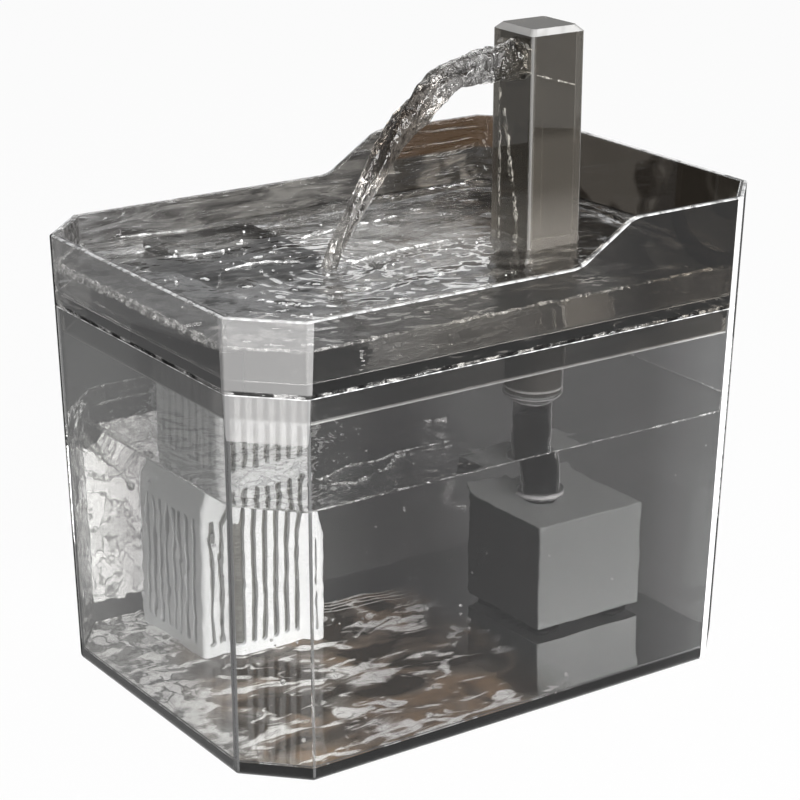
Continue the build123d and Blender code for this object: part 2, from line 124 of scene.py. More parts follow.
def lightCells(tree, sizeMm, stretch=(1, 1, 1)):  # wavy cells: distance from their edges, and a tone for each
    place, size = placeOn(tree), sizeMm * mm
    sway = addNode(tree, "ShaderNodeTexNoise", {"Vector": place, "Scale": 1.1 / size}).outputs["Color"]
    sway = addNode(tree, "ShaderNodeVectorMath", {0: sway, "Scale": 2.1 * size}, operation="SCALE").outputs[0]
    bent = addNode(tree, "ShaderNodeVectorMath", {0: place, 1: sway}, operation="ADD").outputs[0]
    bent = addNode(tree, "ShaderNodeMapping", {"Vector": bent, "Scale": stretch}).outputs["Vector"]
    inputs = {"Vector": bent, "Scale": 1 / size}
    edges = addNode(tree, "ShaderNodeTexVoronoi", inputs, feature="DISTANCE_TO_EDGE").outputs["Distance"]
    cells = addNode(tree, "ShaderNodeTexVoronoi", inputs).outputs["Color"]
    return edges, addNode(tree, "ShaderNodeSeparateColor", {"Color": cells}).outputs[0]


def ranged(tree, source, low, high, fromLow=0.0, fromHigh=1.0):
    inputs = {"Value": source, "From Min": fromLow, "From Max": fromHigh, "To Min": low, "To Max": high}
    return addNode(tree, "ShaderNodeMapRange", inputs).outputs["Result"]


def fadeIn(tree, value, startMm, endMm, most=1.0):
    return ranged(tree, value, 0.0, most, startMm * mm, endMm * mm)


def fadeOut(tree, value, startMm, endMm, most=1.0):
    return ranged(tree, value, most, 0.0, startMm * mm, endMm * mm)


def blended(tree, factor, colourA, colourB):
    return addNode(tree, "ShaderNodeMix", {0: factor, 6: colourA, 7: colourB}, data_type="RGBA").outputs[2]


def tinted(tree, colour, patches):  # lays tints, given as sRGB hex and mask, over a colour
    for hexText, mask in patches:
        colour = blended(tree, mask, colour, hexColour(hexText))
    return colour


def bumped(tree, height, depthMm, under=None):
    inputs = {"Height": height, "Distance": depthMm * mm}
    if under is not None:
        inputs["Normal"] = under
    return addNode(tree, "ShaderNodeBump", inputs).outputs["Normal"]


def lampsThrough(tree, glass, shadeHex):  # lets lamps light what stands inside
    path = addNode(tree, "ShaderNodeLightPath").outputs["Is Shadow Ray"]
    clear = addNode(tree, "ShaderNodeBsdfTransparent", {"Color": hexColour(shadeHex)}).outputs[0]
    return addNode(tree, "ShaderNodeMixShader", {0: path, 1: glass.outputs[0], 2: clear}).outputs[0]


def catchLight(tree, surface, marks):  # edges and lines, as hex and mask, that catch light or lie in shade
    for hexText, mask in marks:
        shine = addNode(tree, "ShaderNodeBsdfDiffuse", {"Color": hexColour(hexText)}).outputs[0]
        surface = addNode(tree, "ShaderNodeMixShader", {0: mask, 1: surface.outputs[0], 2: shine})
    return surface


def makePiece(name, points, faces, material, body=None, smooth=True):
    mesh = bpy.data.meshes.new(name)
    mesh.from_pydata([tuple(p) for p in points], [], faces)
    work = bmesh.new()
    work.from_mesh(mesh)
    bmesh.ops.remove_doubles(work, verts=work.verts, dist=1e-7)
    bmesh.ops.recalc_face_normals(work, faces=work.faces)
    work.to_mesh(mesh)
    work.free()
    mesh.polygons.foreach_set("use_smooth", [smooth] * len(mesh.polygons))
    piece = bpy.data.objects.new(name, mesh)
    scene.collection.objects.link(piece)
    mesh.materials.append(material)
    if body:
        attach(piece, body)
    return piece


def flatCard(name, centre, facing, width, height, material):  # a card of the studio, not of the fountain
    turned = Vector(facing).to_track_quat("Z", "Y").to_matrix()
    corners = [Vector((x * width / 2, y * height / 2, 0)) for x, y in ((-1, -1), (1, -1), (1, 1), (-1, 1))]
    corners = [Vector(centre) + turned @ corner for corner in corners]
    return makePiece(name, corners, [(0, 1, 2, 3)], material, smooth=False)


# Camera

camera = {
    "place": (648.457, -447.416, 365.189),  # mm
    "azimuth": 55.362,
    "elevation": 19.231,
    "roll": 0.236,
    "lens": 111.875,
}
turn, tilt, roll = (math.radians(camera[k]) for k in ("azimuth", "elevation", "roll"))
back = Vector((math.sin(turn) * math.cos(tilt), -math.cos(turn) * math.cos(tilt), math.sin(tilt)))
level = Vector((math.cos(turn), math.sin(turn), 0))
upright = back.cross(level)
sideways = math.cos(roll) * level + math.sin(roll) * upright
upward = -math.sin(roll) * level + math.cos(roll) * upright
cameraData = bpy.data.cameras.new("camera")
cameraData.lens = camera["lens"]
cameraData.sensor_width = 36
cameraData.clip_start = 0.02
cameraData.clip_end = 50
cameraObject = bpy.data.objects.new("camera", cameraData)
scene.collection.objects.link(cameraObject)
grid = Matrix((sideways, upward, back)).transposed().to_4x4()
cameraObject.matrix_world = Matrix.Translation(Vector(camera["place"]) * mm) @ grid
scene.camera = cameraObject
print("camera set")


# Studio: soft lamps, pale floor, white surroundings

studio = {
    "surroundings": 0.2,  # soft light from all round on the object
    "glossShare": 0.45,  # how much of the white surroundings shows in reflections
    "glassShare": 0.34,  # and through clear plastic and water
    "floorGlow": 0.95,  # share of the floor that is plain white to the eye; the rest takes the shadow
    "floorWidth": 12.0,
    "floorDrop": 0.0006,  # just under the fountain's foot
    "aim": (0, 0, 0.08),  # where the lamps point
    "lamps": {
        # name: (place, size, light level on a surface that faces it)
        "keyLamp": ((1.25, -0.12, 0.66), 0.8, 2.5),
        "fillLamp": ((-0.50, -1.22, 0.40), 0.45, 0.12),
        "topLamp": ((-0.15, 0.25, 1.45), 0.8, 0.35),
    },
    "cards": {
        # name: (centre in m, facing, width, height, brightness, seen in reflections, seen through glass)
        "rimCard": ((-0.86, 0.52, 1.00), (0.60, -0.40, -0.70), 0.75, 0.55, 8.0, True, False),
        "waterCard": ((-0.33, 0.30, 0.247), (0.777, -0.537, -0.329), 0.22, 0.044, 3.0, True, False),
        "sideCard": ((0.43, 0.70, 1.01), (-0.33, -0.54, -0.78), 0.55, 0.55, 10.0, True, False),
        "edgeCard": ((-0.10, 0.32, 0.001), (0.0, 0.0, 1.0), 0.16, 0.34, 3.0, True, False),
        "cornerCard": ((-0.090, -0.0515, 0.030), (1.0, 0.0, 0.0), 0.031, 0.060, 9.5, False, True),
    },
    "cellMm": 13,  # light that waves throw on the card seen through the tank
    "glossMm": 70,  # slow clouds on the cards seen in reflections
}


def whiteSeen(tree, cameraShare=1.0):  # how white the studio is to a ray: straight, in gloss, through glass
    path = addNode(tree, "ShaderNodeLightPath").outputs
    rays = {"Camera": 1.0, "Glossy": studio["glossShare"], "Transmission": studio["glassShare"]}
    seen = [overlap(tree, path["Is " + ray + " Ray"], share * cameraShare) for ray, share in rays.items()]
    return strongest(tree, *seen)


world = bpy.data.worlds.new("studio")
scene.world = world
world.use_nodes = True
worldTree = world.node_tree
worldTree.nodes.clear()
soft = {"Color": hexColour("#f4f6fa"), "Strength": studio["surroundings"]}
softLight = addNode(worldTree, "ShaderNodeBackground", soft).outputs[0]
whiteView = addNode(worldTree, "ShaderNodeBackground", {"Color": white, "Strength": 1.0}).outputs[0]
mixView = addNode(worldTree, "ShaderNodeMixShader", {0: whiteSeen(worldTree), 1: softLight, 2: whiteView})
addNode(worldTree, "ShaderNodeOutputWorld", {"Surface": mixView.outputs[0]})

for lampName, (place, size, lightLevel) in studio["lamps"].items():
    lampData = bpy.data.lights.new(lampName, "AREA")
    lampData.size = size
    lampData.energy = math.pi**2 * Vector(place).length_squared * lightLevel
    lamp = bpy.data.objects.new(lampName, lampData)
    scene.collection.objects.link(lamp)
    lamp.location = place
    lamp.rotation_mode = "QUATERNION"
    lamp.rotation_quaternion = (Vector(studio["aim"]) - Vector(place)).to_track_quat("-Z", "Y")
    lamp.visible_camera = False

floorMaterial, tree = newMaterial("matt_grey_white_paper")  # seamless paper: no gloss, takes a faint shadow
paperColour = blended(tree, grainNoise(tree, 40), hexColour("#b6b6b6"), hexColour("#bababa"))
paper = addNode(tree, "ShaderNodeBsdfDiffuse", {"Color": paperColour}).outputs[0]
glow = addNode(tree, "ShaderNodeEmission", {"Color": white, "Strength": 1.0}).outputs[0]
floorMix = addNode(tree, "ShaderNodeMixShader", {0: whiteSeen(tree, studio["floorGlow"]), 1: paper, 2: glow})
finishMaterial(tree, floorMix.outputs[0])
floorPlace, floorWidth = (0, 0, -studio["floorDrop"]), studio["floorWidth"]
flatCard("studio_floor", floorPlace, (0, 0, 1), floorWidth, floorWidth, floorMaterial)

for cardName, (centre, facing, width, height, brightness, inGloss, inGlass) in studio["cards"].items():
    # glowing card beside the set, seen only in reflections or only through the tank
    cardMaterial, tree = newMaterial("glowing_" + cardName)
    if inGlass:
        edges, tones = lightCells(tree, studio["cellMm"], (1, 1, 1.5))
        ripples = overlap(tree, ranged(tree, edges, 0.32, 1.0, 0.010, 0.055), ranged(tree, tones, 0.7, 1.0))
    else:
        clouds = grainNoise(tree, studio["glossMm"], 1.0, (1, 1, 1.4), 0.8)
        ripples = addNode(tree, "ShaderNodeMath", {0: clouds, 1: 0.06}, operation="PINGPONG").outputs[0]
        ripples = ranged(tree, ripples, 0.4, 1.0, 0.004, 0.020)
    glowLevel = overlap(tree, ripples, brightness)
    glow = addNode(tree, "ShaderNodeEmission", {"Color": white, "Strength": glowLevel})
    finishMaterial(tree, glow.outputs[0])
    card = flatCard(cardName, centre, facing, width, height, cardMaterial)
    card.visible_camera = card.visible_diffuse = card.visible_shadow = card.visible_volume_scatter = False
    card.visible_glossy = inGloss
    card.visible_transmission = inGlass
print("studio built")


# Outline at the foot, in mm, shared by tank, tray and their water; the walls flare outwards all round

halfX, halfY, frontCut, rearCut = 69.0, 96.5, 18.0, 16.0
slope = math.tan(math.radians(1.3))
frontX, frontY = halfX - frontCut, halfY - frontCut
rearX, rearY = halfX - rearCut, halfY - rearCut
edgePlaces = {
    # corner: (side in X and Y, its upright lines in plan)
    "nearFront": ((1, -1), [(halfX, frontY), (frontX, halfY), (frontX + 0.8, halfY - 0.8)]),
    "farFront": ((-1, -1), [(frontX, halfY)]),
    "nearRearLight": ((1, 1), [(halfX, rearY - 1.0), (halfX - 0.5, rearY + 0.5)]),
    "nearRearDark": ((1, 1), [(rearX + step, halfY - step) for step in range(0, 13, 3)]),
}


# Materials

plasticLook = {
    # what the smoked mouldings share
    "waveMm": 34,  # slow waves left by the flow of the plastic in its mould
    "waveDepthMm": 0.10,
    "wipeMm": 1.6,  # wipe marks
    "gloss": 0.22,
    "rimWidthMm": 1.1,
    "glimmerMm": 3.0,  # the painted rim highlights glimmer in dashes of about this length
    "wellCentre": (-41.2, -39.7, 125.5),  # drain well, in mm
    "wellHalf": (25.2, 21.5, 13.5),
    "outline": ("#d6d6d6", 127, 0.35, 0.6),  # painted highlight lines on the clear tubes under the basin: hex, highest and line widths in mm
    "bevelTurn": 0.93,  # a face turned further than this from every axis is a bevel
}


def wellMask(tree):  # 1 inside the drain well's walls, 0 elsewhere
    centre = {0: placeOn(tree), 1: [c * mm for c in plasticLook["wellCentre"]]}
    offset = addNode(tree, "ShaderNodeVectorMath", centre, operation="SUBTRACT").outputs[0]
    apart = addNode(tree, "ShaderNodeVectorMath", {0: offset}, operation="ABSOLUTE").outputs[0]
    axes = addNode(tree, "ShaderNodeSeparateXYZ", {"Vector": apart}).outputs
    halves = zip("XYZ", plasticLook["wellHalf"])
    return overlap(tree, *(folded(tree, "LESS_THAN", (axes[axis], half * mm)) for axis, half in halves))


def planAtFoot(tree, turn, *by):  # X and Y of the point, turned to a corner and moved down to the wall's foot
    flare = overlap(tree, placeAxes(tree)["Z"], slope)
    inputs = dict(enumerate((placeOn(tree), *by)))
    turned = addNode(tree, "ShaderNodeVectorMath", inputs, operation=turn).outputs[0]
    axes = addNode(tree, "ShaderNodeSeparateXYZ", {"Vector": turned}).outputs
    return [folded(tree, "SUBTRACT", (axes[axis], flare)) for axis in "XY"]


def litEdges(tree, surface, edges):  # painted highlights and painted shade, as strips down the upright edges
    for corner, hexText, reach, share, grazing in edges:
        side, lines = edgePlaces[corner]
        x, y = planAtFoot(tree, "MULTIPLY", (*side, 1))
        plan = addNode(tree, "ShaderNodeCombineXYZ", {"X": x, "Y": y}).outputs[0]
        near = []
        for lineX, lineY in lines:
            ends = {0: plan, 1: (lineX * mm, lineY * mm, 0)}
            apart = addNode(tree, "ShaderNodeVectorMath", ends, operation="DISTANCE").outputs["Value"]
            near.append(folded(tree, "LESS_THAN", (apart, reach * mm)))
        strip = overlap(tree, strongest(tree, *near), share)
        if grazing:
            facing = addNode(tree, "ShaderNodeLayerWeight", {"Blend": 0.5}).outputs["Facing"]
            strip = overlap(tree, strip, ranged(tree, facing, 0.0, 1.0, 0.82, 0.92))
        surface = catchLight(tree, surface, [(hexText, strip)])
    return surface


def rimHighlightMask(tree, lowest, share):  # painted highlight: outer strip of the upward faces above the lowest height
    axes = placeAxes(tree)
    x, y = planAtFoot(tree, "ABSOLUTE")
    frontSum, rearSum = (halfX + halfY - cut for cut in (frontCut, rearCut))  # of X and Y on the cut corners
    cornerSum = ranged(tree, axes["Y"], frontSum * mm, rearSum * mm, -1 * mm, 1 * mm)
    slanted = folded(tree, "SUBTRACT", (folded(tree, "ADD", (x, y)), cornerSum))
    sides = [folded(tree, "SUBTRACT", (along, half * mm)) for along, half in ((x, halfX), (y, halfY))]
    outside = strongest(tree, overlap(tree, slanted, math.sqrt(0.5)), *sides)
    width, up = plasticLook["rimWidthMm"] * mm, faceAxes(tree)["Z"]
    limits = ((outside, -width), (up, 0.3), (axes["Z"], lowest * mm))
    masks = [folded(tree, "GREATER_THAN", limit) for limit in limits]
    glimmer = ranged(tree, grainNoise(tree, plasticLook["glimmerMm"]), 0.3, 1.0, 0.40, 0.58)
    return overlap(tree, *masks, glimmer, share)


def cornerMask(tree, reach, share):  # beyond a slanting plane that cuts off the near front corner
    return overlap(tree, folded(tree, "GREATER_THAN", (measured(tree, (1, -1, 0)), reach * mm)), share)


def plasticGlass(tree, colour, gloss, normal):
    wipes = grainNoise(tree, plasticLook["wipeMm"], 3.0, (1, 1, 0.15))
    inputs = {
        "Base Color": colour,
        "Roughness": ranged(tree, wipes, 0.0, 0.03, 0.5, 0.85),
        "IOR": 1.40,
        "Specular IOR Level": gloss,
        "Transmission Weight": 1.0,
        "Normal": normal,
    }
    return addNode(tree, "ShaderNodeBsdfPrincipled", inputs)


def flowWaves(tree):
    return bumped(tree, grainNoise(tree, plasticLook["waveMm"], 1.0), plasticLook["waveDepthMm"])


# smoked clear acrylic, injection moulded: polished, faint flow waves, light wipe marks, painted highlights on
# the rims
tankLook = {
    "front": "#a6a6a5",
    "middle": "#8b8a8a",
    "rear": "#b6b6b6",
    "tintEnds": ((-72, -56), (50, 76)),  # where one gives way to the next, along Y in mm
    "frontSkin": "#939392",  # outer face of the front wall
    "shade": "#fafafa",
    "corner": ("#c6c5c4", 152.6, 0.32),  # hex, reach in mm and share of the light on the front corner's lip
    "foot": ("#1c1c1c", 0.6),  # painted shade: a dark line round the foot: hex, share
    "rim": ("#e6e6e6", 126, 0.75),  # painted rim highlight: hex, lowest height in mm, share
    "edges": (  # painted highlight and shade strips: corner, hex, reach in mm, share, whether seen only at a slant
        ("nearFront", "#6e6e6e", 0.48, 0.5, False),
        ("farFront", "#141414", 1.3, 0.9, False),
        ("nearRearLight", "#e2e2e2", 1.2, 0.7, False),
        ("nearRearDark", "#1c1c1c", 2.2, 0.9, True),
    ),
}
smokedTank, tree = newMaterial("smoked_acrylic_tank")
axes = placeAxes(tree)
toMiddle, toRear = (fadeIn(tree, axes["Y"], *ends) for ends in tankLook["tintEnds"])
skinMask = fadeOut(tree, axes["Y"], 0.5 - halfY, 1.5 - halfY)
colour = tinted(
    tree,
    hexColour(tankLook["front"]),
    ((tankLook["middle"], toMiddle), (tankLook["rear"], toRear), (tankLook["frontSkin"], skinMask)),
)
surface = plasticGlass(tree, colour, plasticLook["gloss"], flowWaves(tree))
cornerHex, *corner = tankLook["corner"]
footHex, footShare = tankLook["foot"]
rimHighlightHex, *rim = tankLook["rim"]
marks = (
    (cornerHex, cornerMask(tree, *corner)),
    (footHex, fadeOut(tree, axes["Z"], 0.5, 0.8, footShare)),
    (rimHighlightHex, rimHighlightMask(tree, *rim)),
)
surface = litEdges(tree, catchLight(tree, surface, marks), tankLook["edges"])
finishMaterial(tree, lampsThrough(tree, surface, tankLook["shade"]))

# the same acrylic, wet: runs of water down it, patches of shade and warm light in it, a dark seam under it
trayLook = {
    "nose": "#b4b3b2",  # drinking end
    "noseEnds": (-74, -30),  # where the nose gives way to the basin, along Y in mm
    "basin": "#a19e99",
    "guard": "#4b463f",  # splash guard
    "guardEnds": (22, 50),
    "clouds": ("#9f988e", 36),  # paler clouds on the guard, hex and size in mm
    "rearWall": ("#221e19", 84, 90, 0.78),  # hex, fade along Y in mm, share
    "runs": ("#5a5856", 4.0, 1.6),  # water running down the far wall: hex, width and depth in mm
    "farWall": (-62, -58),
    # painted shade: the tint goes dark inside the drain well
    "well": "#33302d",
    "warmLight": ("#6c5948", 152, 44),  # painted warm light high on the guard's far side: hex, above and behind in mm
    "wedge": ("#2f2b29", 134.4, 0.1, 0.9),  # shade low on the front wall: hex, height and rise in mm, share
    "nearWall": (64, 66),
    "paler": ("#857e74", 46, 58),  # near side of the guard
    "arc": ("#1f1b19", (72, 82, 170), 26.5, 2.6, 13.0, 0.8),  # hex, centre, radius, half width, spot, share
    "facet": ("#c6c5c4", 152, 0.28),  # front corner, which catches the key lamp
    "seam": ("#101010", 126.8, 128.4, 7.0),  # dashes over the tank's rim: hex, heights and length in mm
    "lipFoot": ("#bdbdbc", 117.8, 118.7, 0.75),  # painted highlight along the lip's foot: hex, heights in mm, share
    # painted highlight along the tray's rims
    "rim": ("#c9c9c9", 142, 0.7),
    "shade": "#d4d3d2",
    # painted highlight and shade strips down the upright edges
    "edges": (
        ("farFront", "#141414", 1.3, 0.9, False),
        ("nearRearLight", "#d8d8d8", 1.2, 0.55, False),
        ("nearRearDark", "#1c1c1c", 2.2, 0.9, True),
    ),
}
smokedTray, tree = newMaterial("smoked_acrylic_tray")
axes = placeAxes(tree)
farWall = fadeOut(tree, axes["X"], *trayLook["farWall"])
nearWall = fadeIn(tree, axes["X"], *trayLook["nearWall"])

cloudHex, cloudMm = trayLook["clouds"]
rearHex, *rearEnds = trayLook["rearWall"]
clouds = ranged(tree, grainNoise(tree, cloudMm, 1.0, (1, 1, 1.3), 2.0), 0.0, 1.0, 0.48, 0.54)
patches = ((cloudHex, clouds), (rearHex, fadeIn(tree, axes["Y"], *rearEnds)))
guard = tinted(tree, hexColour(trayLook["guard"]), patches)
toBasin = fadeIn(tree, axes["Y"], *trayLook["noseEnds"])
colour = tinted(tree, hexColour(trayLook["nose"]), [(trayLook["basin"], toBasin)])
colour = blended(tree, fadeIn(tree, axes["Y"], *trayLook["guardEnds"]), colour, guard)

runsHex, runsMm, runsDepth = trayLook["runs"]
runs = grainNoise(tree, runsMm, 3.0, (1, 0.16, 1), 1.5)
wet = bumped(tree, overlap(tree, runs, farWall), runsDepth, flowWaves(tree))
warmLightHex, warmAbove, warmBehind = trayLook["warmLight"]
high = fadeIn(tree, axes["Z"], warmAbove, warmAbove + 1)
behind = fadeIn(tree, axes["Y"], warmBehind, warmBehind + 2)
wedgeHex, wedgeTop, wedgeRise, wedgeShare = trayLook["wedge"]
wedge = fadeOut(tree, measured(tree, (-wedgeRise, 0, 1)), wedgeTop, wedgeTop + 0.4, wedgeShare)
onFront = fadeIn(tree, axes["Y"], 1.5 - halfY, 0.5 - halfY)
palerHex, *palerEnds = trayLook["paler"]
arcHex, arcCentre, arcRadius, arcHalf, spotRadius, arcShare = trayLook["arc"]
apart = farFrom(tree, arcCentre)
fromArc = folded(tree, "SUBTRACT", (apart, arcRadius * mm))
fromArc = addNode(tree, "ShaderNodeMath", {0: fromArc}, operation="ABSOLUTE").outputs[0]
arc = fadeOut(tree, fromArc, arcHalf, arcHalf + 0.4, arcShare)
spot = fadeOut(tree, apart, spotRadius, spotRadius + 0.5, arcShare)
patches = (
    (runsHex, overlap(tree, ranged(tree, runs, 0.0, 1.0, 0.42, 0.6), farWall)),
    (trayLook["well"], wellMask(tree)),
    (warmLightHex, overlap(tree, farWall, high, behind)),
    (wedgeHex, overlap(tree, wedge, fadeIn(tree, axes["X"], -3, -1), onFront)),
    (palerHex, overlap(tree, nearWall, fadeIn(tree, axes["Y"], *palerEnds))),
    (arcHex, overlap(tree, strongest(tree, arc, spot), nearWall)),
)
surface = plasticGlass(tree, tinted(tree, colour, patches), plasticLook["gloss"], wet)

facetHex, *facet = trayLook["facet"]
seamHex, seamFoot, seamTop, dashMm = trayLook["seam"]
dashes = ranged(tree, grainNoise(tree, dashMm), 0.0, 1.0, 0.46, 0.52)
seamRise = fadeIn(tree, axes["Z"], seamFoot, seamFoot + 0.2)
seamFall = fadeOut(tree, axes["Z"], seamTop - 0.4, seamTop, 0.9)
lipHighlightHex, lipLow, lipHigh, lipShare = trayLook["lipFoot"]
lipRise = fadeIn(tree, axes["Z"], lipLow, lipLow + 0.1)
lipFall = fadeOut(tree, axes["Z"], lipHigh - 0.3, lipHigh, lipShare)
rimHighlightHex, *rim = trayLook["rim"]
marks = (
    (facetHex, cornerMask(tree, *facet)),
    (seamHex, overlap(tree, seamRise, seamFall, dashes)),
    (lipHighlightHex, overlap(tree, lipRise, lipFall, ranged(tree, wellMask(tree), 1.0, 0.0))),
    (rimHighlightHex, rimHighlightMask(tree, *rim)),
)
surface = litEdges(tree, catchLight(tree, surface, marks), trayLook["edges"])
finishMaterial(tree, lampsThrough(tree, surface, trayLook["shade"]))


def glassOutline(tree, steps):  # clear tubes under the basin: painted highlights down both sides and round each step
    facing = addNode(tree, "ShaderNodeLayerWeight", {"Blend": 0.5}).outputs["Facing"]
    height = placeAxes(tree)["Z"]
    hexText, highest, *widths = plasticLook["outline"]
    lines = [ranged(tree, facing, 0.0, 0.7, 0.66, 0.86)]
    for step in steps:
        apart = folded(tree, "SUBTRACT", (height, step * mm))
        apart = addNode(tree, "ShaderNodeMath", {0: apart}, operation="ABSOLUTE").outputs[0]
        lines.append(fadeOut(tree, apart, *widths, 0.7))
    low = folded(tree, "LESS_THAN", (height, highest * mm))
    return hexText, overlap(tree, strongest(tree, *lines), low)


# the same acrylic as a thick square tube: a pale diffuse haze in its wall that is also a painted sheen,
# painted lighter on the side towards the key lamp; painted highlights on the bevels
columnLook = {
    "tints": ("#7e7b74", "#78746d"),
    "tintMm": 20,
    "lowHazeSheen": "#918d87",  # pale haze and painted sheen inside the wall, above the basin's floor; the next colour further up
    "highHazeSheen": "#5d5953",
    "hazeSheenEnds": (143, 158),
    "hazeSheen": 0.15,
    "lampSideSheen": (174, 182, 0.26),  # painted light: more of the sheen on the side towards the key lamp, below the spout
    "gloss": 0.4,
    "bevelHighlights": ("#d8d8d7", 132, 0.13, 0.28),  # painted highlights: hex, lowest height in mm, share if upright and if sloping
    "steps": (84, 121),
}
smokedColumn, tree = newMaterial("smoked_acrylic_column")
height = placeAxes(tree)["Z"]
turned = faceAxes(tree)
light, dark, lowHazeSheen, highHazeSheen = (
    hexColour(c) for c in (*columnLook["tints"], columnLook["lowHazeSheen"], columnLook["highHazeSheen"])
)
colour = blended(tree, grainNoise(tree, columnLook["tintMm"], 1.0), light, dark)
surface = plasticGlass(tree, colour, columnLook["gloss"], flowWaves(tree))
hazeSheenColour = blended(tree, fadeIn(tree, height, *columnLook["hazeSheenEnds"]), lowHazeSheen, highHazeSheen)
hazeAndSheen = addNode(tree, "ShaderNodeBsdfDiffuse", {"Color": hazeSheenColour}).outputs[0]
lampSideLow, lampSideHigh, sideShare = columnLook["lampSideSheen"]
lampSideSheen = overlap(tree, fadeOut(tree, height, lampSideLow, lampSideHigh, sideShare), turned["X"])
hazeSheen = strongest(tree, lampSideSheen, columnLook["hazeSheen"])
surface = addNode(tree, "ShaderNodeMixShader", {0: hazeSheen, 1: surface.outputs[0], 2: hazeAndSheen})
bevelHighlightHex, bevelLow, uprightShare, slopeShare = columnLook["bevelHighlights"]
sizes = faceAxes(tree, size=True)
most = strongest(tree, sizes["X"], sizes["Y"], sizes["Z"])
slanted = folded(tree, "LESS_THAN", (most, plasticLook["bevelTurn"]))
high = folded(tree, "GREATER_THAN", (height, bevelLow * mm))
bevelHighlights = overlap(tree, slanted, high, ranged(tree, turned["Z"], uprightShare, slopeShare, 0.1, 0.4))
surface = catchLight(tree, surface, ((bevelHighlightHex, bevelHighlights), glassOutline(tree, columnLook["steps"])))
finishMaterial(tree, lampsThrough(tree, surface, trayLook["shade"]))

# clear acrylic, injection moulded: pale face on, painted shade along its edges
reducerLook = {
    "faceOn": "#c9c8c7",
    "shadedEdges": "#1f1e1e",
    "gloss": 1.0,
    "waveMm": 5,
    "waveDepthMm": 0.25,
    "steps": (48, 76.5, 80),
}
clearReducer, tree = newMaterial("clear_acrylic_reducer")
facing = addNode(tree, "ShaderNodeLayerWeight", {"Blend": 0.35}).outputs["Facing"]
light, dark = hexColour(reducerLook["faceOn"]), hexColour(reducerLook["shadedEdges"])
waves = bumped(tree, grainNoise(tree, reducerLook["waveMm"]), reducerLook["waveDepthMm"])
colour = blended(tree, ranged(tree, facing, 0.0, 1.0, 0.5, 0.8), light, dark)
surface = plasticGlass(tree, colour, reducerLook["gloss"], waves)
surface = catchLight(tree, surface, [glassOutline(tree, reducerLook["steps"])])
finishMaterial(tree, lampsThrough(tree, surface, tankLook["shade"]))


def waterGlass(tree, tint, ior, normal):
    inputs = {"Base Color": tint, "Roughness": 0.0, "IOR": ior, "Transmission Weight": 1.0, "Normal": normal}
    return addNode(tree, "ShaderNodeBsdfPrincipled", inputs)


# moving water: clear, smooth, its skin carries small waves
waterLook = {
    # the milky share is white diffuse streaks, painted highlights on the water; the sheen is a painted
    # reflection of the white studio in pale patches: (centre in mm, reach in mm, share)
    "tray_water": {
        "ior": 1.28,
        "waveMm": 9,
        "depthMm": 0.35,
        "stretch": (1, 0.45, 1),
        "sheen": (((-24, 18, 141), 46, 0.14), ((-68, -50, 141), 34, 0.11)),
    },
    "jet_water": {"waveMm": 1.9, "depthMm": 0.9, "tint": "#d2d1cf", "stretch": (1, 1, 0.5), "far": "#8c847b"},
    "column_water": {"waveMm": 3.0, "depthMm": 0.6, "tint": "#f4f3f1", "stretch": (1, 1, 0.25)},
    "rope_water": {"waveMm": 1.2, "depthMm": 0.5, "stretch": (1, 1, 0.4), "milkHighlight": 0.75, "streakMm": 1.6},
    "seam_water": {"waveMm": 1.6, "depthMm": 0.5, "milkHighlight": 0.3, "streakMm": 2.4},
}
# painted shade: the jet's tint darkens past the spout and takes dark braids, standing for dark surroundings
# seen through it
jetLook = {
    "darkens": (4, 26),  # along Y in mm, once it has left the spout
    "braid": ("#2d2722", 1.5),  # dark braids: hex and width in mm
    "foot": ("#d6d4d1", 158, 174, 0.75),  # paler low down
}


def clearWater(
    name, waveMm, depthMm, ior=1.33, tint="#fafafa", stretch=(1, 1, 1), milkHighlight=0, streakMm=1, far=None, sheen=()
):
    material, tree = newMaterial(name)
    normal = bumped(tree, grainNoise(tree, waveMm, 2.0, stretch, 0.6), depthMm)
    colour = hexColour(tint)
    if far:
        axes = placeAxes(tree)
        braidHex, braidMm = jetLook["braid"]
        footHex, *foot = jetLook["foot"]
        braid = ranged(tree, grainNoise(tree, braidMm, 2.0, (1, 1, 0.6), 1.0), 0.0, 0.85, 0.50, 0.58)
        dark = fadeOut(tree, axes["Y"], *jetLook["darkens"])
        patches = ((far, dark), (braidHex, braid), (footHex, fadeOut(tree, axes["Z"], *foot)))
        colour = tinted(tree, colour, patches)
    surface = waterGlass(tree, colour, ior, normal)
    for centre, reach, share in sheen:  # painted reflection of the white studio on the water
        paintedSheen = fadeOut(tree, farFrom(tree, centre), reach * 0.4, reach, share)
        patches = ranged(tree, grainNoise(tree, 14, 2.0, (1, 0.6, 1), 1.5), 0.3, 1.0, 0.42, 0.56)
        surface = catchLight(tree, surface, [("#d2d1ce", overlap(tree, paintedSheen, patches))])
    # painted highlights: white diffuse streaks mixed into the water
    if milkHighlight:
        whiteHighlight = {"Color": hexColour("#f6f6f4"), "Normal": normal}
        whiteHighlight = addNode(tree, "ShaderNodeBsdfDiffuse", whiteHighlight).outputs[0]
        streaks = ranged(tree, grainNoise(tree, streakMm, 3.0, stretch, 1.0), 0.0, milkHighlight, 0.46, 0.62)
        surface = addNode(tree, "ShaderNodeMixShader", {0: streaks, 1: surface.outputs[0], 2: whiteHighlight})
    finishMaterial(tree, lampsThrough(tree, surface, "#ffffff"))
    return material


waters = {name: clearWater(name, **look) for name, look in waterLook.items()}

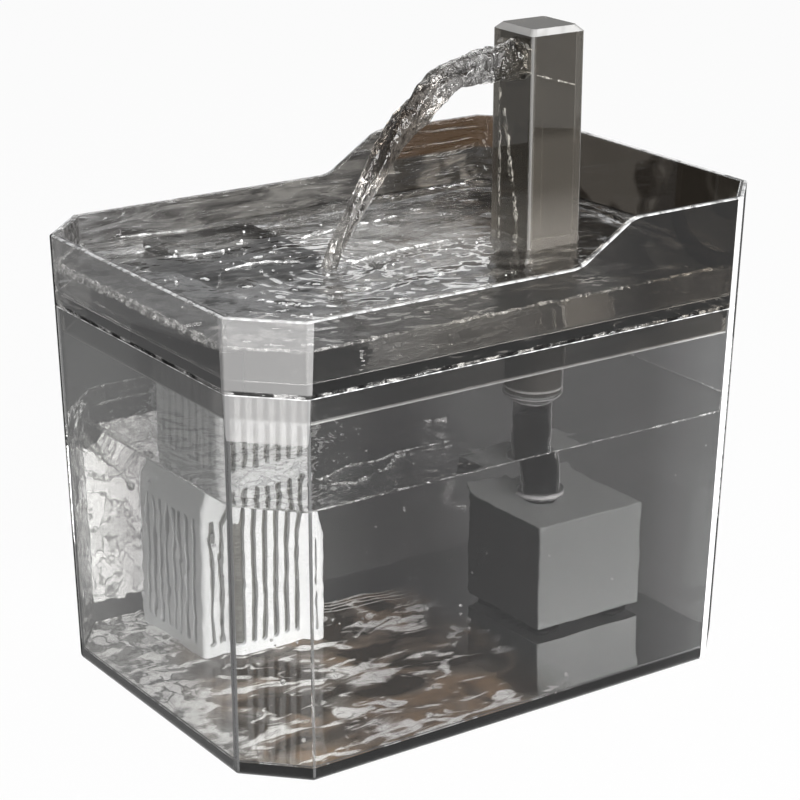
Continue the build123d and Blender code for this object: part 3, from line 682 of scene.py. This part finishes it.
# still water: clear and calm on the sides, with light play from its waves on the tank's floor
stillLook = {
    "tint": "#f2f2f1",
    "ior": 1.05,  # low, so that what stands in it keeps its place and size to the eye
    "swayMm": 16,
    "swayDepthMm": 9.0,
    "calm": 0.10,  # share of the sway where nothing stirs the water
    "stirred": ((-50, -25), (-64, -50)),  # the falling water stirs the far front corner, faded along Y and X
    "rippleMm": 11,  # waves on top
    "rippleDepthMm": 6.0,
    "ripplesAbove": 86,
    "floorBelow": 5.0,
}
lightPlay = {
    # light that the waves throw on the tank's floor: sizes in mm, places along X or Y in mm
    "patchMm": 24,
    "glintMm": 11,
    "brownMm": 26,
    "pebbleMm": 10,
    "wanderMm": 22,
    "lineMm": 1.3,  # spacing of the fine lines along the shore
    "share": (30, 4, 0.88),  # fades out towards the pump
    "dull": (-84, -56),  # front corner, measured along a slant
    "bright": (-104, -58),
    "shore": (-38, -36),  # fine lines start past this wandering line, towards the far wall
    "beyond": (-47, -45),  # the light play ends past this one, but for the front corner
    "corner": (-32, -24),
    "white": "#fbfaf8",
    "pebble": ("#fbfaf9", "#848381"),
    "outline": "#3c3b39",
    "shade": "#8b8884",
    "brown": "#90775d",
    "dark": "#3d342b",
}


def floorTone(tree, away, shore):  # pebbles of light in front, then glints, brown patches and shade
    slant = measured(tree, (0.5, 1, 0))
    coarse = grainNoise(tree, lightPlay["patchMm"], 3.0, (1, 0.8, 1), 1.2)
    fine = grainNoise(tree, lightPlay["glintMm"], 2.0, (1.5, 0.6, 1), 1.4)
    brown = grainNoise(tree, lightPlay["brownMm"], 2.0, (1, 1, 1), 0.8)
    lit = folded(tree, "ADD", (coarse, fadeOut(tree, slant, *lightPlay["bright"], 0.34)))
    edges, tones = lightCells(tree, lightPlay["pebbleMm"], (1, 1.5, 1))
    light, dull = (hexColour(c) for c in lightPlay["pebble"])
    pebble = blended(tree, ranged(tree, tones, 0.0, 1.0, 0.2, 0.9), light, dull)
    outlines = overlap(tree, ranged(tree, edges, 1.0, 0.0, 0.02, 0.14), ranged(tree, away, 0.95, 0.0))
    browned = overlap(tree, ranged(tree, brown, 0.0, 0.9, 0.38, 0.60), away)
    darkened = overlap(tree, ranged(tree, lit, 1.0, 0.0, 0.44, 0.60), ranged(tree, away, 0.55, 1.0))
    glints = folded(tree, "ADD", (fine, ranged(tree, lit, 0.0, 0.16, 0.40, 0.60)))
    rings = folded(tree, "PINGPONG", (coarse, 0.06))
    lines = fadeIn(tree, folded(tree, "PINGPONG", (shore, lightPlay["lineMm"] * mm)), 0.8, 1.2, 0.9)
    patches = (
        (lightPlay["shade"], away),
        (lightPlay["outline"], outlines),
        (lightPlay["brown"], browned),
        (lightPlay["dark"], darkened),
        (lightPlay["white"], ranged(tree, glints, 0.0, 1.0, 0.64, 0.73)),
        (lightPlay["dark"], ranged(tree, rings, 0.7, 0.0, 0.0, 0.008)),
        (lightPlay["white"], overlap(tree, lines, fadeOut(tree, shore, *lightPlay["shore"]), away)),
    )
    return tinted(tree, pebble, patches)


stillWater, tree = newMaterial("tank_water")
axes = placeAxes(tree)
alongY, alongX = stillLook["stirred"]
stirred = overlap(tree, fadeOut(tree, axes["Y"], *alongY), fadeOut(tree, axes["X"], *alongX))
sway = grainNoise(tree, stillLook["swayMm"], 2.0, (1, 1, 1), 0.4)
churn = overlap(tree, sway, strongest(tree, stirred, stillLook["calm"]))
skin = bumped(tree, churn, stillLook["swayDepthMm"])
glass = waterGlass(tree, hexColour(stillLook["tint"]), stillLook["ior"], skin).outputs[0]

away = fadeIn(tree, measured(tree, (0.5, 1, 0)), *lightPlay["dull"])
wander = ranged(tree, grainNoise(tree, lightPlay["wanderMm"]), -5 * mm, 5 * mm)
shore = folded(tree, "ADD", (measured(tree, (1, -0.17, 0)), wander))
play = addNode(tree, "ShaderNodeBsdfDiffuse", {"Color": floorTone(tree, away, shore)}).outputs[0]
floor = folded(tree, "LESS_THAN", (axes["Z"], stillLook["floorBelow"] * mm))
inCorner = fadeOut(tree, axes["Y"], *lightPlay["corner"])
beyond = strongest(tree, fadeIn(tree, shore, *lightPlay["beyond"]), inCorner)
share = overlap(tree, fadeIn(tree, axes["Y"], *lightPlay["share"]), floor, beyond)

stir = ranged(tree, axes["Y"], 1.0, 0.06, -15 * mm, 15 * mm)
above = folded(tree, "GREATER_THAN", (axes["Z"], stillLook["ripplesAbove"] * mm))
ripple = overlap(tree, grainNoise(tree, stillLook["rippleMm"], 2.0, (1, 1, 0), 1.2), stir, above)
topWaves = bumped(tree, ripple, stillLook["rippleDepthMm"])
gloss = {"Color": white, "Roughness": 0.02, "Normal": topWaves}
gloss = addNode(tree, "ShaderNodeBsdfGlossy", gloss).outputs[0]
facing = addNode(tree, "ShaderNodeLayerWeight", {"Blend": 0.5}).outputs["Facing"]
floorMirror = overlap(tree, floor, ranged(tree, facing, 0.0, 0.85, 0.35, 0.55))
top = folded(tree, "GREATER_THAN", (faceAxes(tree)["Z"], 0.5))
topMirror = overlap(tree, top, ranged(tree, axes["Y"], 0.40, 0.05, -12 * mm, 8 * mm))
mirror = strongest(tree, floorMirror, topMirror)
clear = addNode(tree, "ShaderNodeMixShader", {0: mirror, 1: glass, 2: gloss}).outputs[0]
both = addNode(tree, "ShaderNodeMixShader", {0: share, 1: clear, 2: play})
finishMaterial(tree, lampsThrough(tree, both, "#ffffff"))
waters["tank_water"] = stillWater


def mouldedPlastic(name, light, dark, roughLow, roughHigh, grainMm, grainDepthMm, shadedTint=None):
    # opaque moulded plastic: satin skin with fine spark texture; the shaded tint is for sides away from lamps
    material, tree = newMaterial(name)
    colour = blended(tree, grainNoise(tree, 22, 3.0), hexColour(light), hexColour(dark))
    if shadedTint:
        colour = tinted(tree, colour, [(shadedTint, ranged(tree, faceAxes(tree)["Y"], 1.0, 0.0, -0.9, -0.4))])
    grain = grainNoise(tree, grainMm)
    inputs = {
        "Base Color": colour,
        "Roughness": ranged(tree, grain, roughLow, roughHigh),
        "IOR": 1.5,
        "Specular IOR Level": 0.4,
        "Normal": bumped(tree, grain, grainDepthMm),
    }
    finishMaterial(tree, addNode(tree, "ShaderNodeBsdfPrincipled", inputs).outputs[0])
    return material


pumpAbs = mouldedPlastic("grey_abs_pump", "#919392", "#8a8c8b", 0.35, 0.5, 0.9, 0.03, "#3c3d3d")
filterPolypropylene = mouldedPlastic("white_polypropylene_filter", "#f4f5f6", "#ebecee", 0.35, 0.5, 0.9, 0.02)
innerNylon = mouldedPlastic("dark_nylon_pump_parts", "#3a3b3c", "#2f3031", 0.3, 0.5, 0.7, 0.03)
blackRubber = mouldedPlastic("black_silicone_rubber", "#1c1b1c", "#161516", 0.3, 0.5, 0.5, 0.02)
clearSilicone = mouldedPlastic("milky_silicone_seal", "#d8d8d4", "#cdcdc8", 0.3, 0.45, 0.5, 0.01)
pottingResin = mouldedPlastic("black_epoxy_potting", "#141416", "#0e0e10", 0.12, 0.25, 4.0, 0.05)
ferriteMagnet = mouldedPlastic("sintered_ferrite", "#2b2c2e", "#232426", 0.45, 0.65, 0.4, 0.02)


def granules(name, light, dark, sizeMm, depthMm, rough):  # loose granules, each catches the light on its own
    material, tree = newMaterial(name)
    cells = {"Vector": placeOn(tree), "Scale": 1 / (sizeMm * mm)}
    cells = addNode(tree, "ShaderNodeTexVoronoi", cells).outputs
    tone = addNode(tree, "ShaderNodeSeparateColor", {"Color": cells["Color"]}).outputs[0]
    inputs = {
        "Base Color": blended(tree, tone, hexColour(light), hexColour(dark)),
        "Roughness": rough,
        "Normal": bumped(tree, cells["Distance"], -depthMm),
    }
    finishMaterial(tree, addNode(tree, "ShaderNodeBsdfPrincipled", inputs).outputs[0])
    return material


# activated carbon is black; the pad's dark top in the filter's front opening also stands in for shade there
carbonGranules = granules("activated_carbon_granules", "#2a2a2a", "#101010", 1.6, 0.7, 0.7)
resinGranules = granules("ion_exchange_resin_beads", "#b98a3c", "#8a5f20", 0.9, 0.45, 0.25)
foamMaterial = granules("open_cell_foam", "#3c3c3d", "#161617", 0.8, 0.5, 0.95)
cottonMaterial = granules("filter_cotton_felt", "#8c8b88", "#75746f", 0.6, 0.15, 0.95)


def workedMetal(name, light, dark, pitchMm, axis, rough):  # fine parallel lines: stacked sheets or wound wire
    material, tree = newMaterial(name)
    lines = {"Vector": placeOn(tree), "Scale": math.pi / (10 * pitchMm * mm), "Distortion": 0.1}
    lines = addNode(tree, "ShaderNodeTexWave", lines, bands_direction=axis).outputs["Fac"]
    inputs = {
        "Base Color": blended(tree, lines, hexColour(light), hexColour(dark)),
        "Metallic": 1.0,
        "Roughness": ranged(tree, lines, rough, rough + 0.15),
        "Normal": bumped(tree, lines, 0.08),
    }
    finishMaterial(tree, addNode(tree, "ShaderNodeBsdfPrincipled", inputs).outputs[0])
    return material


laminations = workedMetal("silicon_steel_laminations", "#8a8c90", "#5c5d60", 0.5, "Y", 0.4)
woundCopper = workedMetal("enamelled_copper_wire", "#c47a45", "#7c4322", 0.3, "X", 0.3)
groundSteel = workedMetal("ground_stainless_shaft", "#c9cbce", "#a5a7aa", 0.2, "Y", 0.2)

finishes = {
    # material: nodes that have it
    smokedTank: ["tank"],
    smokedTray: ["drinking_tray"],
    smokedColumn: ["faucet_column", "outlet_chute"],
    clearReducer: ["faucet_reducer"],
    clearSilicone: ["spigot_seal", "shaft_bushes"],
    pumpAbs: ["pump_cover", "pump_base"],
    blackRubber: ["suction_cups", "cable_gland", "chamber_seal", "outlet_sleeve"],
    innerNylon: ["impeller_chamber", "outlet_nozzle", "motor_shell"],
    filterPolypropylene: ["impeller", "filter_box", "filter_lid"],
    laminations: ["stator_core"],
    woundCopper: ["stator_coil"],
    pottingResin: ["potting_resin"],
    ferriteMagnet: ["rotor_magnet"],
    groundSteel: ["impeller_shaft"],
    foamMaterial: ["prefilter_sponge"],
    cottonMaterial: ["filter_cotton"],
    carbonGranules: ["carbon_pad"],
    resinGranules: ["resin_pad"],
}
for finish, nodeNames in finishes.items():
    for nodeName in nodeNames:
        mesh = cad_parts[nodeName].data
        mesh.materials.clear()
        mesh.materials.append(finish)
        mesh.polygons.foreach_set("material_index", [0] * len(mesh.polygons))
print("materials on", sum(len(nodeNames) for nodeNames in finishes.values()), "nodes")


# Water


def insideWalls(z, inset):  # half sizes inside the flared walls at a height, and what each cut corner loses
    return halfX + z * slope - inset, halfY + z * slope - inset, inset * (2 - math.sqrt(2))


def rowEnds(y, z, inset):  # inner half width of the tank or tray at this depth, in mm
    sideX, sideY, lost = insideWalls(z, inset)
    cut = (frontCut if y < 0 else rearCut) - lost
    return min(sideX, sideX + sideY - cut - abs(y))


def rowPlaces(z, inset, rows):  # rows across the tank, with one at each corner of the outline
    sideX, sideY, lost = insideWalls(z, inset)
    corners = [-sideY, -sideY + frontCut - lost, sideY - rearCut + lost, sideY]
    places = []
    for (low, high), share in zip(zip(corners, corners[1:]), (0.09, 0.82, 0.09)):
        steps = max(2, round(rows * share))
        places += [low + (high - low) * i / steps for i in range(steps)]
    return places + [sideY]


def waterBody(name, water, topHeight, body):
    # a block of water that fills the eight-sided hollow; topHeight(x, y) gives its surface
    low, inset, rows, columns, layers = (water[k] for k in ("low", "inset", "rows", "columns", "layers"))
    levels = [low + (topHeight(0, 0) - low) * i / layers for i in range(layers + 1)]
    shape = [rowPlaces(z, inset, rows) for z in levels]
    count = len(shape[0])
    points, faces, index = [], [], {}
    nextLayer, nextRow, nextColumn = (1, 0, 0), (0, 1, 0), (0, 0, 1)

    def pointAt(layer, row, column):
        key = (layer, row, column)
        if key not in index:
            z = levels[layer]
            y = shape[layer][row]
            x = rowEnds(y, z, inset) * (2 * column / columns - 1)
            if layer == layers:
                z = topHeight(x, y)
            index[key] = len(points)
            points.append((x * mm, y * mm, z * mm))
        return index[key]

    def addFace(corner, stepA, stepB):
        both = [a + b for a, b in zip(stepA, stepB)]
        steps = ((0, 0, 0), stepA, both, stepB)
        faces.append([pointAt(*(c + s for c, s in zip(corner, step))) for step in steps])

    for layer in (0, layers):
        for row in range(count - 1):
            for column in range(columns):
                addFace((layer, row, column), nextColumn, nextRow)
    for layer in range(layers):
        for column in range(columns):
            for row in (0, count - 1):
                addFace((layer, row, column), nextColumn, nextLayer)
        for row in range(count - 1):
            for column in (0, columns):
                addFace((layer, row, column), nextRow, nextLayer)
    return makePiece(name, points, faces, waters[name], body)


tankWater = {
    "low": 4.3,
    "level": 90.4,
    "waveMm": 26,
    "waveHeight": 0.5,
    "inset": 2.8,
    "rows": 120,
    "columns": 90,
    "layers": 12,
}
trayWater = {
    "low": 130.8,
    "level": 140.9,
    "landing": (2.0, -29.0),
    "ringMm": 7.5,
    "ringHeight": 0.17,
    "ringReach": 42,
    "chopMm": 13,
    "chopHeight": 0.45,
    "inset": 2.8,
    "rows": 190,
    "columns": 140,
    "layers": 3,
}


def tankSurface(x, y):
    place = Vector((x, y, 0)) / tankWater["waveMm"]
    return tankWater["level"] + tankWater["waveHeight"] * noise.fractal(place, 1.0, 2.0, 3)


def traySurface(x, y):
    away = math.hypot(x - trayWater["landing"][0], y - trayWater["landing"][1])
    rings = math.cos(2 * math.pi * away / trayWater["ringMm"]) * math.exp(-away / trayWater["ringReach"])
    chop = noise.fractal(Vector((x, y, 4)) / trayWater["chopMm"], 1.0, 2.0, 3)
    return trayWater["level"] + trayWater["ringHeight"] * rings + trayWater["chopHeight"] * chop


waterBody("tank_water", tankWater, tankSurface, "tank")
waterBody("tray_water", trayWater, traySurface, "tray")


# Water lines and drops, made with geometry nodes


def startNodes(name, inputs):  # a tree with named inputs
    tree = bpy.data.node_groups.new(name, "GeometryNodeTree")
    tree.interface.new_socket("Geometry", in_out="INPUT", socket_type="NodeSocketGeometry")
    for label, kind in inputs.items():
        tree.interface.new_socket(label, in_out="INPUT", socket_type="NodeSocket" + kind)
    tree.interface.new_socket("Geometry", in_out="OUTPUT", socket_type="NodeSocketGeometry")
    return tree, tree.nodes.new("NodeGroupInput").outputs


def endNodes(tree, geometry, material):
    plain = addNode(tree, "GeometryNodeRealizeInstances", {"Geometry": geometry}).outputs[0]
    smooth = addNode(tree, "GeometryNodeSetShadeSmooth", {"Geometry": plain}).outputs[0]
    done = addNode(tree, "GeometryNodeSetMaterial", {"Geometry": smooth, "Material": material}).outputs[0]
    addNode(tree, "NodeGroupOutput", {"Geometry": done})


def growMesh(name, points, edges, tree, values, body):  # runs the tree on points and edges, keeps the mesh
    seedMesh = bpy.data.meshes.new(name + "_seed")
    seedMesh.from_pydata(points, edges, [])
    source = bpy.data.objects.new(name + "_seed", seedMesh)
    modifier = source.modifiers.new("grow", "NODES")
    modifier.node_group = tree
    for item in tree.interface.items_tree:
        if item.item_type == "SOCKET" and item.in_out == "INPUT" and item.name in values:
            modifier[item.identifier] = values[item.name]
    scene.collection.objects.link(source)
    mesh = bpy.data.meshes.new_from_object(source.evaluated_get(bpy.context.evaluated_depsgraph_get()))
    mesh.name = name
    bpy.data.objects.remove(source)
    piece = bpy.data.objects.new(name, mesh)
    scene.collection.objects.link(piece)
    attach(piece, body)


# a bead of water that follows a line, thick and thin, wandering a little
beadInputs = {label: "Float" for label in ("Step", "Radius", "Swell", "Wander", "Seed")}
beadTree, given = startNodes("water_bead", {**beadInputs, "Material": "Material"})
line = addNode(beadTree, "GeometryNodeMeshToCurve", {"Mesh": given["Geometry"]}).outputs[0]
evenly = {"Curve": line, "Length": given["Step"]}
line = addNode(beadTree, "GeometryNodeResampleCurve", evenly, mode="LENGTH").outputs[0]
place = addNode(beadTree, "GeometryNodeInputPosition").outputs[0]
sway = {"Vector": place, "W": given["Seed"], "Scale": 170.0, "Detail": 2.0}
sway = addNode(beadTree, "ShaderNodeTexNoise", sway, noise_dimensions="4D").outputs["Color"]
shift = {0: sway, 1: (0.5, 0.5, 0.5)}
shift = addNode(beadTree, "ShaderNodeVectorMath", shift, operation="SUBTRACT").outputs[0]
shift = {0: shift, "Scale": given["Wander"]}
shift = addNode(beadTree, "ShaderNodeVectorMath", shift, operation="SCALE").outputs[0]
line = addNode(beadTree, "GeometryNodeSetPosition", {"Geometry": line, "Offset": shift}).outputs[0]
thickness = {"Vector": place, "W": given["Seed"], "Scale": 320.0, "Detail": 1.0}
thickness = addNode(beadTree, "ShaderNodeTexNoise", thickness, noise_dimensions="4D").outputs[0]
thickness = ranged(beadTree, thickness, 0.35, given["Swell"], 0.3, 0.7)
section = addNode(beadTree, "GeometryNodeCurvePrimitiveCircle", {"Resolution": 8, "Radius": given["Radius"]})
tube = {"Curve": line, "Profile Curve": section.outputs[0], "Scale": thickness, "Fill Caps": True}
endNodes(beadTree, addNode(beadTree, "GeometryNodeCurveToMesh", tube).outputs[0], given["Material"])

# drops or bubbles of mixed size on given points
dropTree, given = startNodes(
    "water_drops", {"Smallest": "Float", "Largest": "Float", "Seed": "Int", "Material": "Material"}
)
shape = addNode(dropTree, "GeometryNodeMeshIcoSphere", {"Radius": 1.0, "Subdivisions": 3}).outputs[0]
size = {2: given["Smallest"], 3: given["Largest"], 8: given["Seed"]}
size = addNode(dropTree, "FunctionNodeRandomValue", size, data_type="FLOAT").outputs[1]
cloud = {"Points": given["Geometry"], "Instance": shape, "Scale": size}
endNodes(dropTree, addNode(dropTree, "GeometryNodeInstanceOnPoints", cloud).outputs[0], given["Material"])


def outlineLoop(z, inset):  # eight-sided line inside the tank at a height
    sideX, sideY, lost = insideWalls(z, inset)
    front, rear = frontCut - lost, rearCut - lost
    corners = [
        (sideX, -sideY + front),
        (sideX, sideY - rear),
        (sideX - rear, sideY),
        (-sideX + rear, sideY),
        (-sideX, sideY - rear),
        (-sideX, -sideY + front),
        (-sideX + front, -sideY),
        (sideX - front, -sideY),
    ]
    return [(x, y, z) for x, y in corners]


def onFarWall(*places):  # points given as y, z on the tank's far side wall
    return [(3.0 - halfX, y, z) for y, z in places]


def onFront(*places):  # points given as x, z on the tray's front wall
    return [(x, -halfY - 0.1, z) for x, z in places]


def onTray(*places):  # points given as x, y on the basin's water
    return [(x, y, trayWater["level"] + 0.2) for x, y in places]


def onTank(*places):  # points given as x, y on the tank's water
    return [(x, y, tankWater["level"] + 0.5) for x, y in places]


def inBore(*places):  # points given as x, z down the front of the column's bore
    return [(x, 46.9, z) for x, z in places]


wellLeft, wellRight, wellFront, wellRear, wellFoot = -65.8, -16.6, -60.6, -18.8, 113.2
well = [(wellLeft, wellFront), (wellRight, wellFront), (wellRight, wellRear), (wellLeft, wellRear)]
nearWaterline = [outlineLoop(141.0, 3.0)[i] for i in (1, 0, 7, 6, 5)]
streaks = {
    "front": ((-39, -66), (-38, -59), (-36, -53), (-35, -46)),
    "landing": ((-35, -16), (-37, -3), (-38, 10), (-41, 27)),
    "far": ((-69, -66), (-68, -56), (-64, -44)),
    "near": ((-1, -18), (-4, 3), (-5, 25)),
    "corner": ((-16, -57), (-18, -42), (-11, -32)),
}
# the streak_, front_swell, crest_ and surface_glint beads lie where light catches the water: their milky
# white is a painted highlight
beads = {
    # name: (line, closed, radius, swell, wander, seed, body), lengths in mm
    "seam_water": (outlineLoop(127.4, 0.6), True, 0.5, 1.7, 1.3, 1, "tank"),
    "tank_waterline": (outlineLoop(90.6, 3.0), True, 0.24, 1.6, 0.5, 4, "tank"),
    "tray_waterline": (nearWaterline, False, 0.42, 1.8, 1.6, 7, "tray"),
    "wave_crest": (
        onFarWall((-86, 74), (-83, 81), (-77, 84), (-69, 85), (-58, 84)), False, 0.5, 2.0, 1.2, 2, "tank"
    ),
    "wave_foot": (
        onFarWall((-86, 77), (-78, 72), (-71, 66), (-63, 59), (-58, 52)), False, 0.9, 2.0, 2.0, 3, "tank"
    ),
    "well_film": ([(x, y, wellFoot) for x, y in well], True, 0.34, 1.5, 0.6, 9, "tray"),
    **{
        "streak_" + place: (onTray(*line), False, 0.34, 1.9, 1.6, seed, "tray")
        for seed, (place, line) in enumerate(streaks.items(), 10)
    },
    "front_swell": (onFront((-53, 139.5), (51, 139.7)), False, 0.7, 2.3, 1.2, 16, "tray"),
    "crest_far": (
        onTank((48, -63), (43, -50), (44, -37), (41, -30), (42, -9)), False, 0.28, 1.9, 0.9, 17, "tank"
    ),
    "crest_near": (
        onTank((52, -63), (56, -55), (51, -40), (44, -32), (46, -12)), False, 0.36, 2.2, 1.2, 18, "tank"
    ),
    "surface_glint": (onTank((22, -6), (25, 1)), False, 0.8, 1.8, 0.8, 19, "tank"),
    "wall_run": (onFront((-41, 149), (-54, 142), (-39, 140), (-55, 131)), False, 0.3, 1.9, 1.0, 15, "tray"),
    "chute_film": ([(9.2, 48.0, 196.9), (9.2, 64.2, 191.9)], False, 0.30, 1.3, 0.2, 5, "faucet"),
    "front_rope": (
        inBore((-5.3, 183), (-2.1, 169), (0.5, 156), (2.5, 144), (2.2, 133)),
        False, 0.6, 2.2, 3.2, 6, "faucet",
    ),
    "side_rope": (inBore((-7.6, 190), (-7.2, 160), (-6.9, 133)), False, 0.42, 2.1, 1.8, 8, "faucet"),
}
beadStep = 0.9 * mm
for name, (line, closed, radius, swell, wander, seed, body) in beads.items():
    points = [[c * mm for c in point] for point in line]
    edges = [(i, i + 1) for i in range(len(points) - 1)] + ([(len(points) - 1, 0)] if closed else [])
    values = {
        "Step": beadStep,
        "Radius": radius * mm,
        "Swell": swell,
        "Wander": wander * mm,
        "Seed": float(seed),
        "Material": waters["rope_water" if body == "faucet" else "seam_water"],
    }
    growMesh(name, points, edges, beadTree, values, body)

drops = {
    # name: (count, lowest corner, highest corner, smallest and largest radius, seed, body), lengths in mm
    "tank_bubbles": (90, (-62, -88, 12), (60, 84, 88), 0.18, 0.55, 11, "tank"),
    "floor_bubbles": (24, (-55, -80, 5.6), (62, 80, 6.2), 0.5, 1.1, 12, "tank"),
    "tray_bubbles": (70, (-62, -88, 140.9), (62, 40, 141.3), 0.2, 0.6, 13, "tray"),
}
for name, (count, lowest, highest, small, large, seed, body) in drops.items():
    dice = random.Random(seed)
    points = [[dice.uniform(a, b) * mm for a, b in zip(lowest, highest)] for _ in range(count)]
    values = {"Smallest": small * mm, "Largest": large * mm, "Seed": seed, "Material": waters["seam_water"]}
    growMesh(name, points, [], dropTree, values, body)
print("water lines and drops grown")


def ringPoints(centre, across, above, radii):  # a ring of points, one for each radius
    angles = [2 * math.pi * i / len(radii) for i in range(len(radii))]
    return [(centre + r * (math.cos(a) * across + math.sin(a) * above)) * mm for a, r in zip(angles, radii)]


def tubeFaces(rings, sides):  # quads between the rings, and a cap at each end
    faces = []
    for ring in range(rings - 1):
        for side in range(sides):
            nextSide = (side + 1) % sides
            a, b = ring * sides, (ring + 1) * sides
            faces.append((a + side, a + nextSide, b + nextSide, b + side))
    faces.append(tuple(range(sides))[::-1])
    faces.append(tuple(range((rings - 1) * sides, rings * sides)))
    return faces


# jet: follows its centreline, with ridges that twist round it
jet = {
    "line": [  # y, z, diameter in mm
        (60.0, 201.0, 12.0),
        (52.0, 201.4, 12.4),
        (45.9, 201.3, 12.4),
        (31.6, 200.3, 10.3),
        (17.5, 196.6, 9.6),
        (7.7, 190.2, 9.3),
        (-0.2, 182.9, 8.2),
        (-6.0, 175.4, 7.6),
        (-12.6, 166.4, 6.9),
        (-18.8, 157.3, 5.5),
        (-24.3, 148.2, 4.9),
        (-27.6, 140.4, 4.8),
    ],
    "x": 0.4,
    "steps": 18,  # rings from one point of the line to the next
    "sides": 40,
    "ridge": 0.15,
    "roughen": 0.14,
    "twistPerMm": 0.055,
}


def smoothLine(knots, steps):  # Catmull-Rom through the knots
    out = []
    for i in range(len(knots) - 1):
        a, b, c, d = (Vector(knots[max(0, min(len(knots) - 1, j))]) for j in (i - 1, i, i + 1, i + 2))
        for t in (step / steps for step in range(steps)):
            bend = (2 * a - 5 * b + 4 * c - d) * t * t + (3 * b - a - 3 * c + d) * t**3
            out.append(0.5 * ((2 * b) + (c - a) * t + bend))
    return out + [Vector(knots[-1])]


samples = smoothLine(jet["line"], jet["steps"])
points, gone = [], 0.0
for i, sample in enumerate(samples):
    ahead = samples[min(i + 1, len(samples) - 1)] - samples[max(i - 1, 0)]
    along = Vector((0, ahead[0], ahead[1])).normalized()
    if i:
        gone += (samples[i] - samples[i - 1]).xy.length
    radii = []
    for angle in (2 * math.pi * side / jet["sides"] for side in range(jet["sides"])):
        swirl = angle + jet["twistPerMm"] * gone
        ridge = jet["ridge"] * (math.cos(3 * swirl) + 0.6 * math.cos(5 * swirl + 1.3))
        place = Vector((math.cos(angle) * 1.4, math.sin(angle) * 1.4, gone / 5.0))
        rough = jet["roughen"] * noise.fractal(place, 1.0, 2.0, 3)
        radii.append(sample[2] / 2 * (1 + ridge + rough))
    across = Vector((1, 0, 0))
    points += ringPoints(Vector((jet["x"], sample[0], sample[1])), across, along.cross(across), radii)
makePiece("water_jet", points, tubeFaces(len(samples), jet["sides"]), waters["jet_water"], "faucet")

# water that climbs the bore, pulled into ropes
columnWater = {
    "low": 84.0,
    "high": 193.0,
    "centre": (-3.0, 50.0),
    "half": 2.5,
    "ridge": 0.28,
    "stepMm": 1.5,
    "sides": 48,
}
rings = int((columnWater["high"] - columnWater["low"]) / columnWater["stepMm"]) + 1
points = []
for z in (columnWater["low"] + ring * columnWater["stepMm"] for ring in range(rings)):
    radii = []
    for angle in (2 * math.pi * side / columnWater["sides"] for side in range(columnWater["sides"])):
        place = Vector((math.cos(angle) * 1.6, math.sin(angle) * 1.6, z / 22.0))
        square = 1 / max(abs(math.cos(angle)), abs(math.sin(angle))) ** 0.6
        rough = columnWater["ridge"] * noise.fractal(place, 1.0, 2.0, 3)
        radii.append(columnWater["half"] * square * (1 + rough))
    points += ringPoints(Vector((*columnWater["centre"], z)), Vector((1, 0, 0)), Vector((0, 1, 0)), radii)
makePiece("column_water", points, tubeFaces(rings, columnWater["sides"]), waters["column_water"], "faucet")
print("water built")
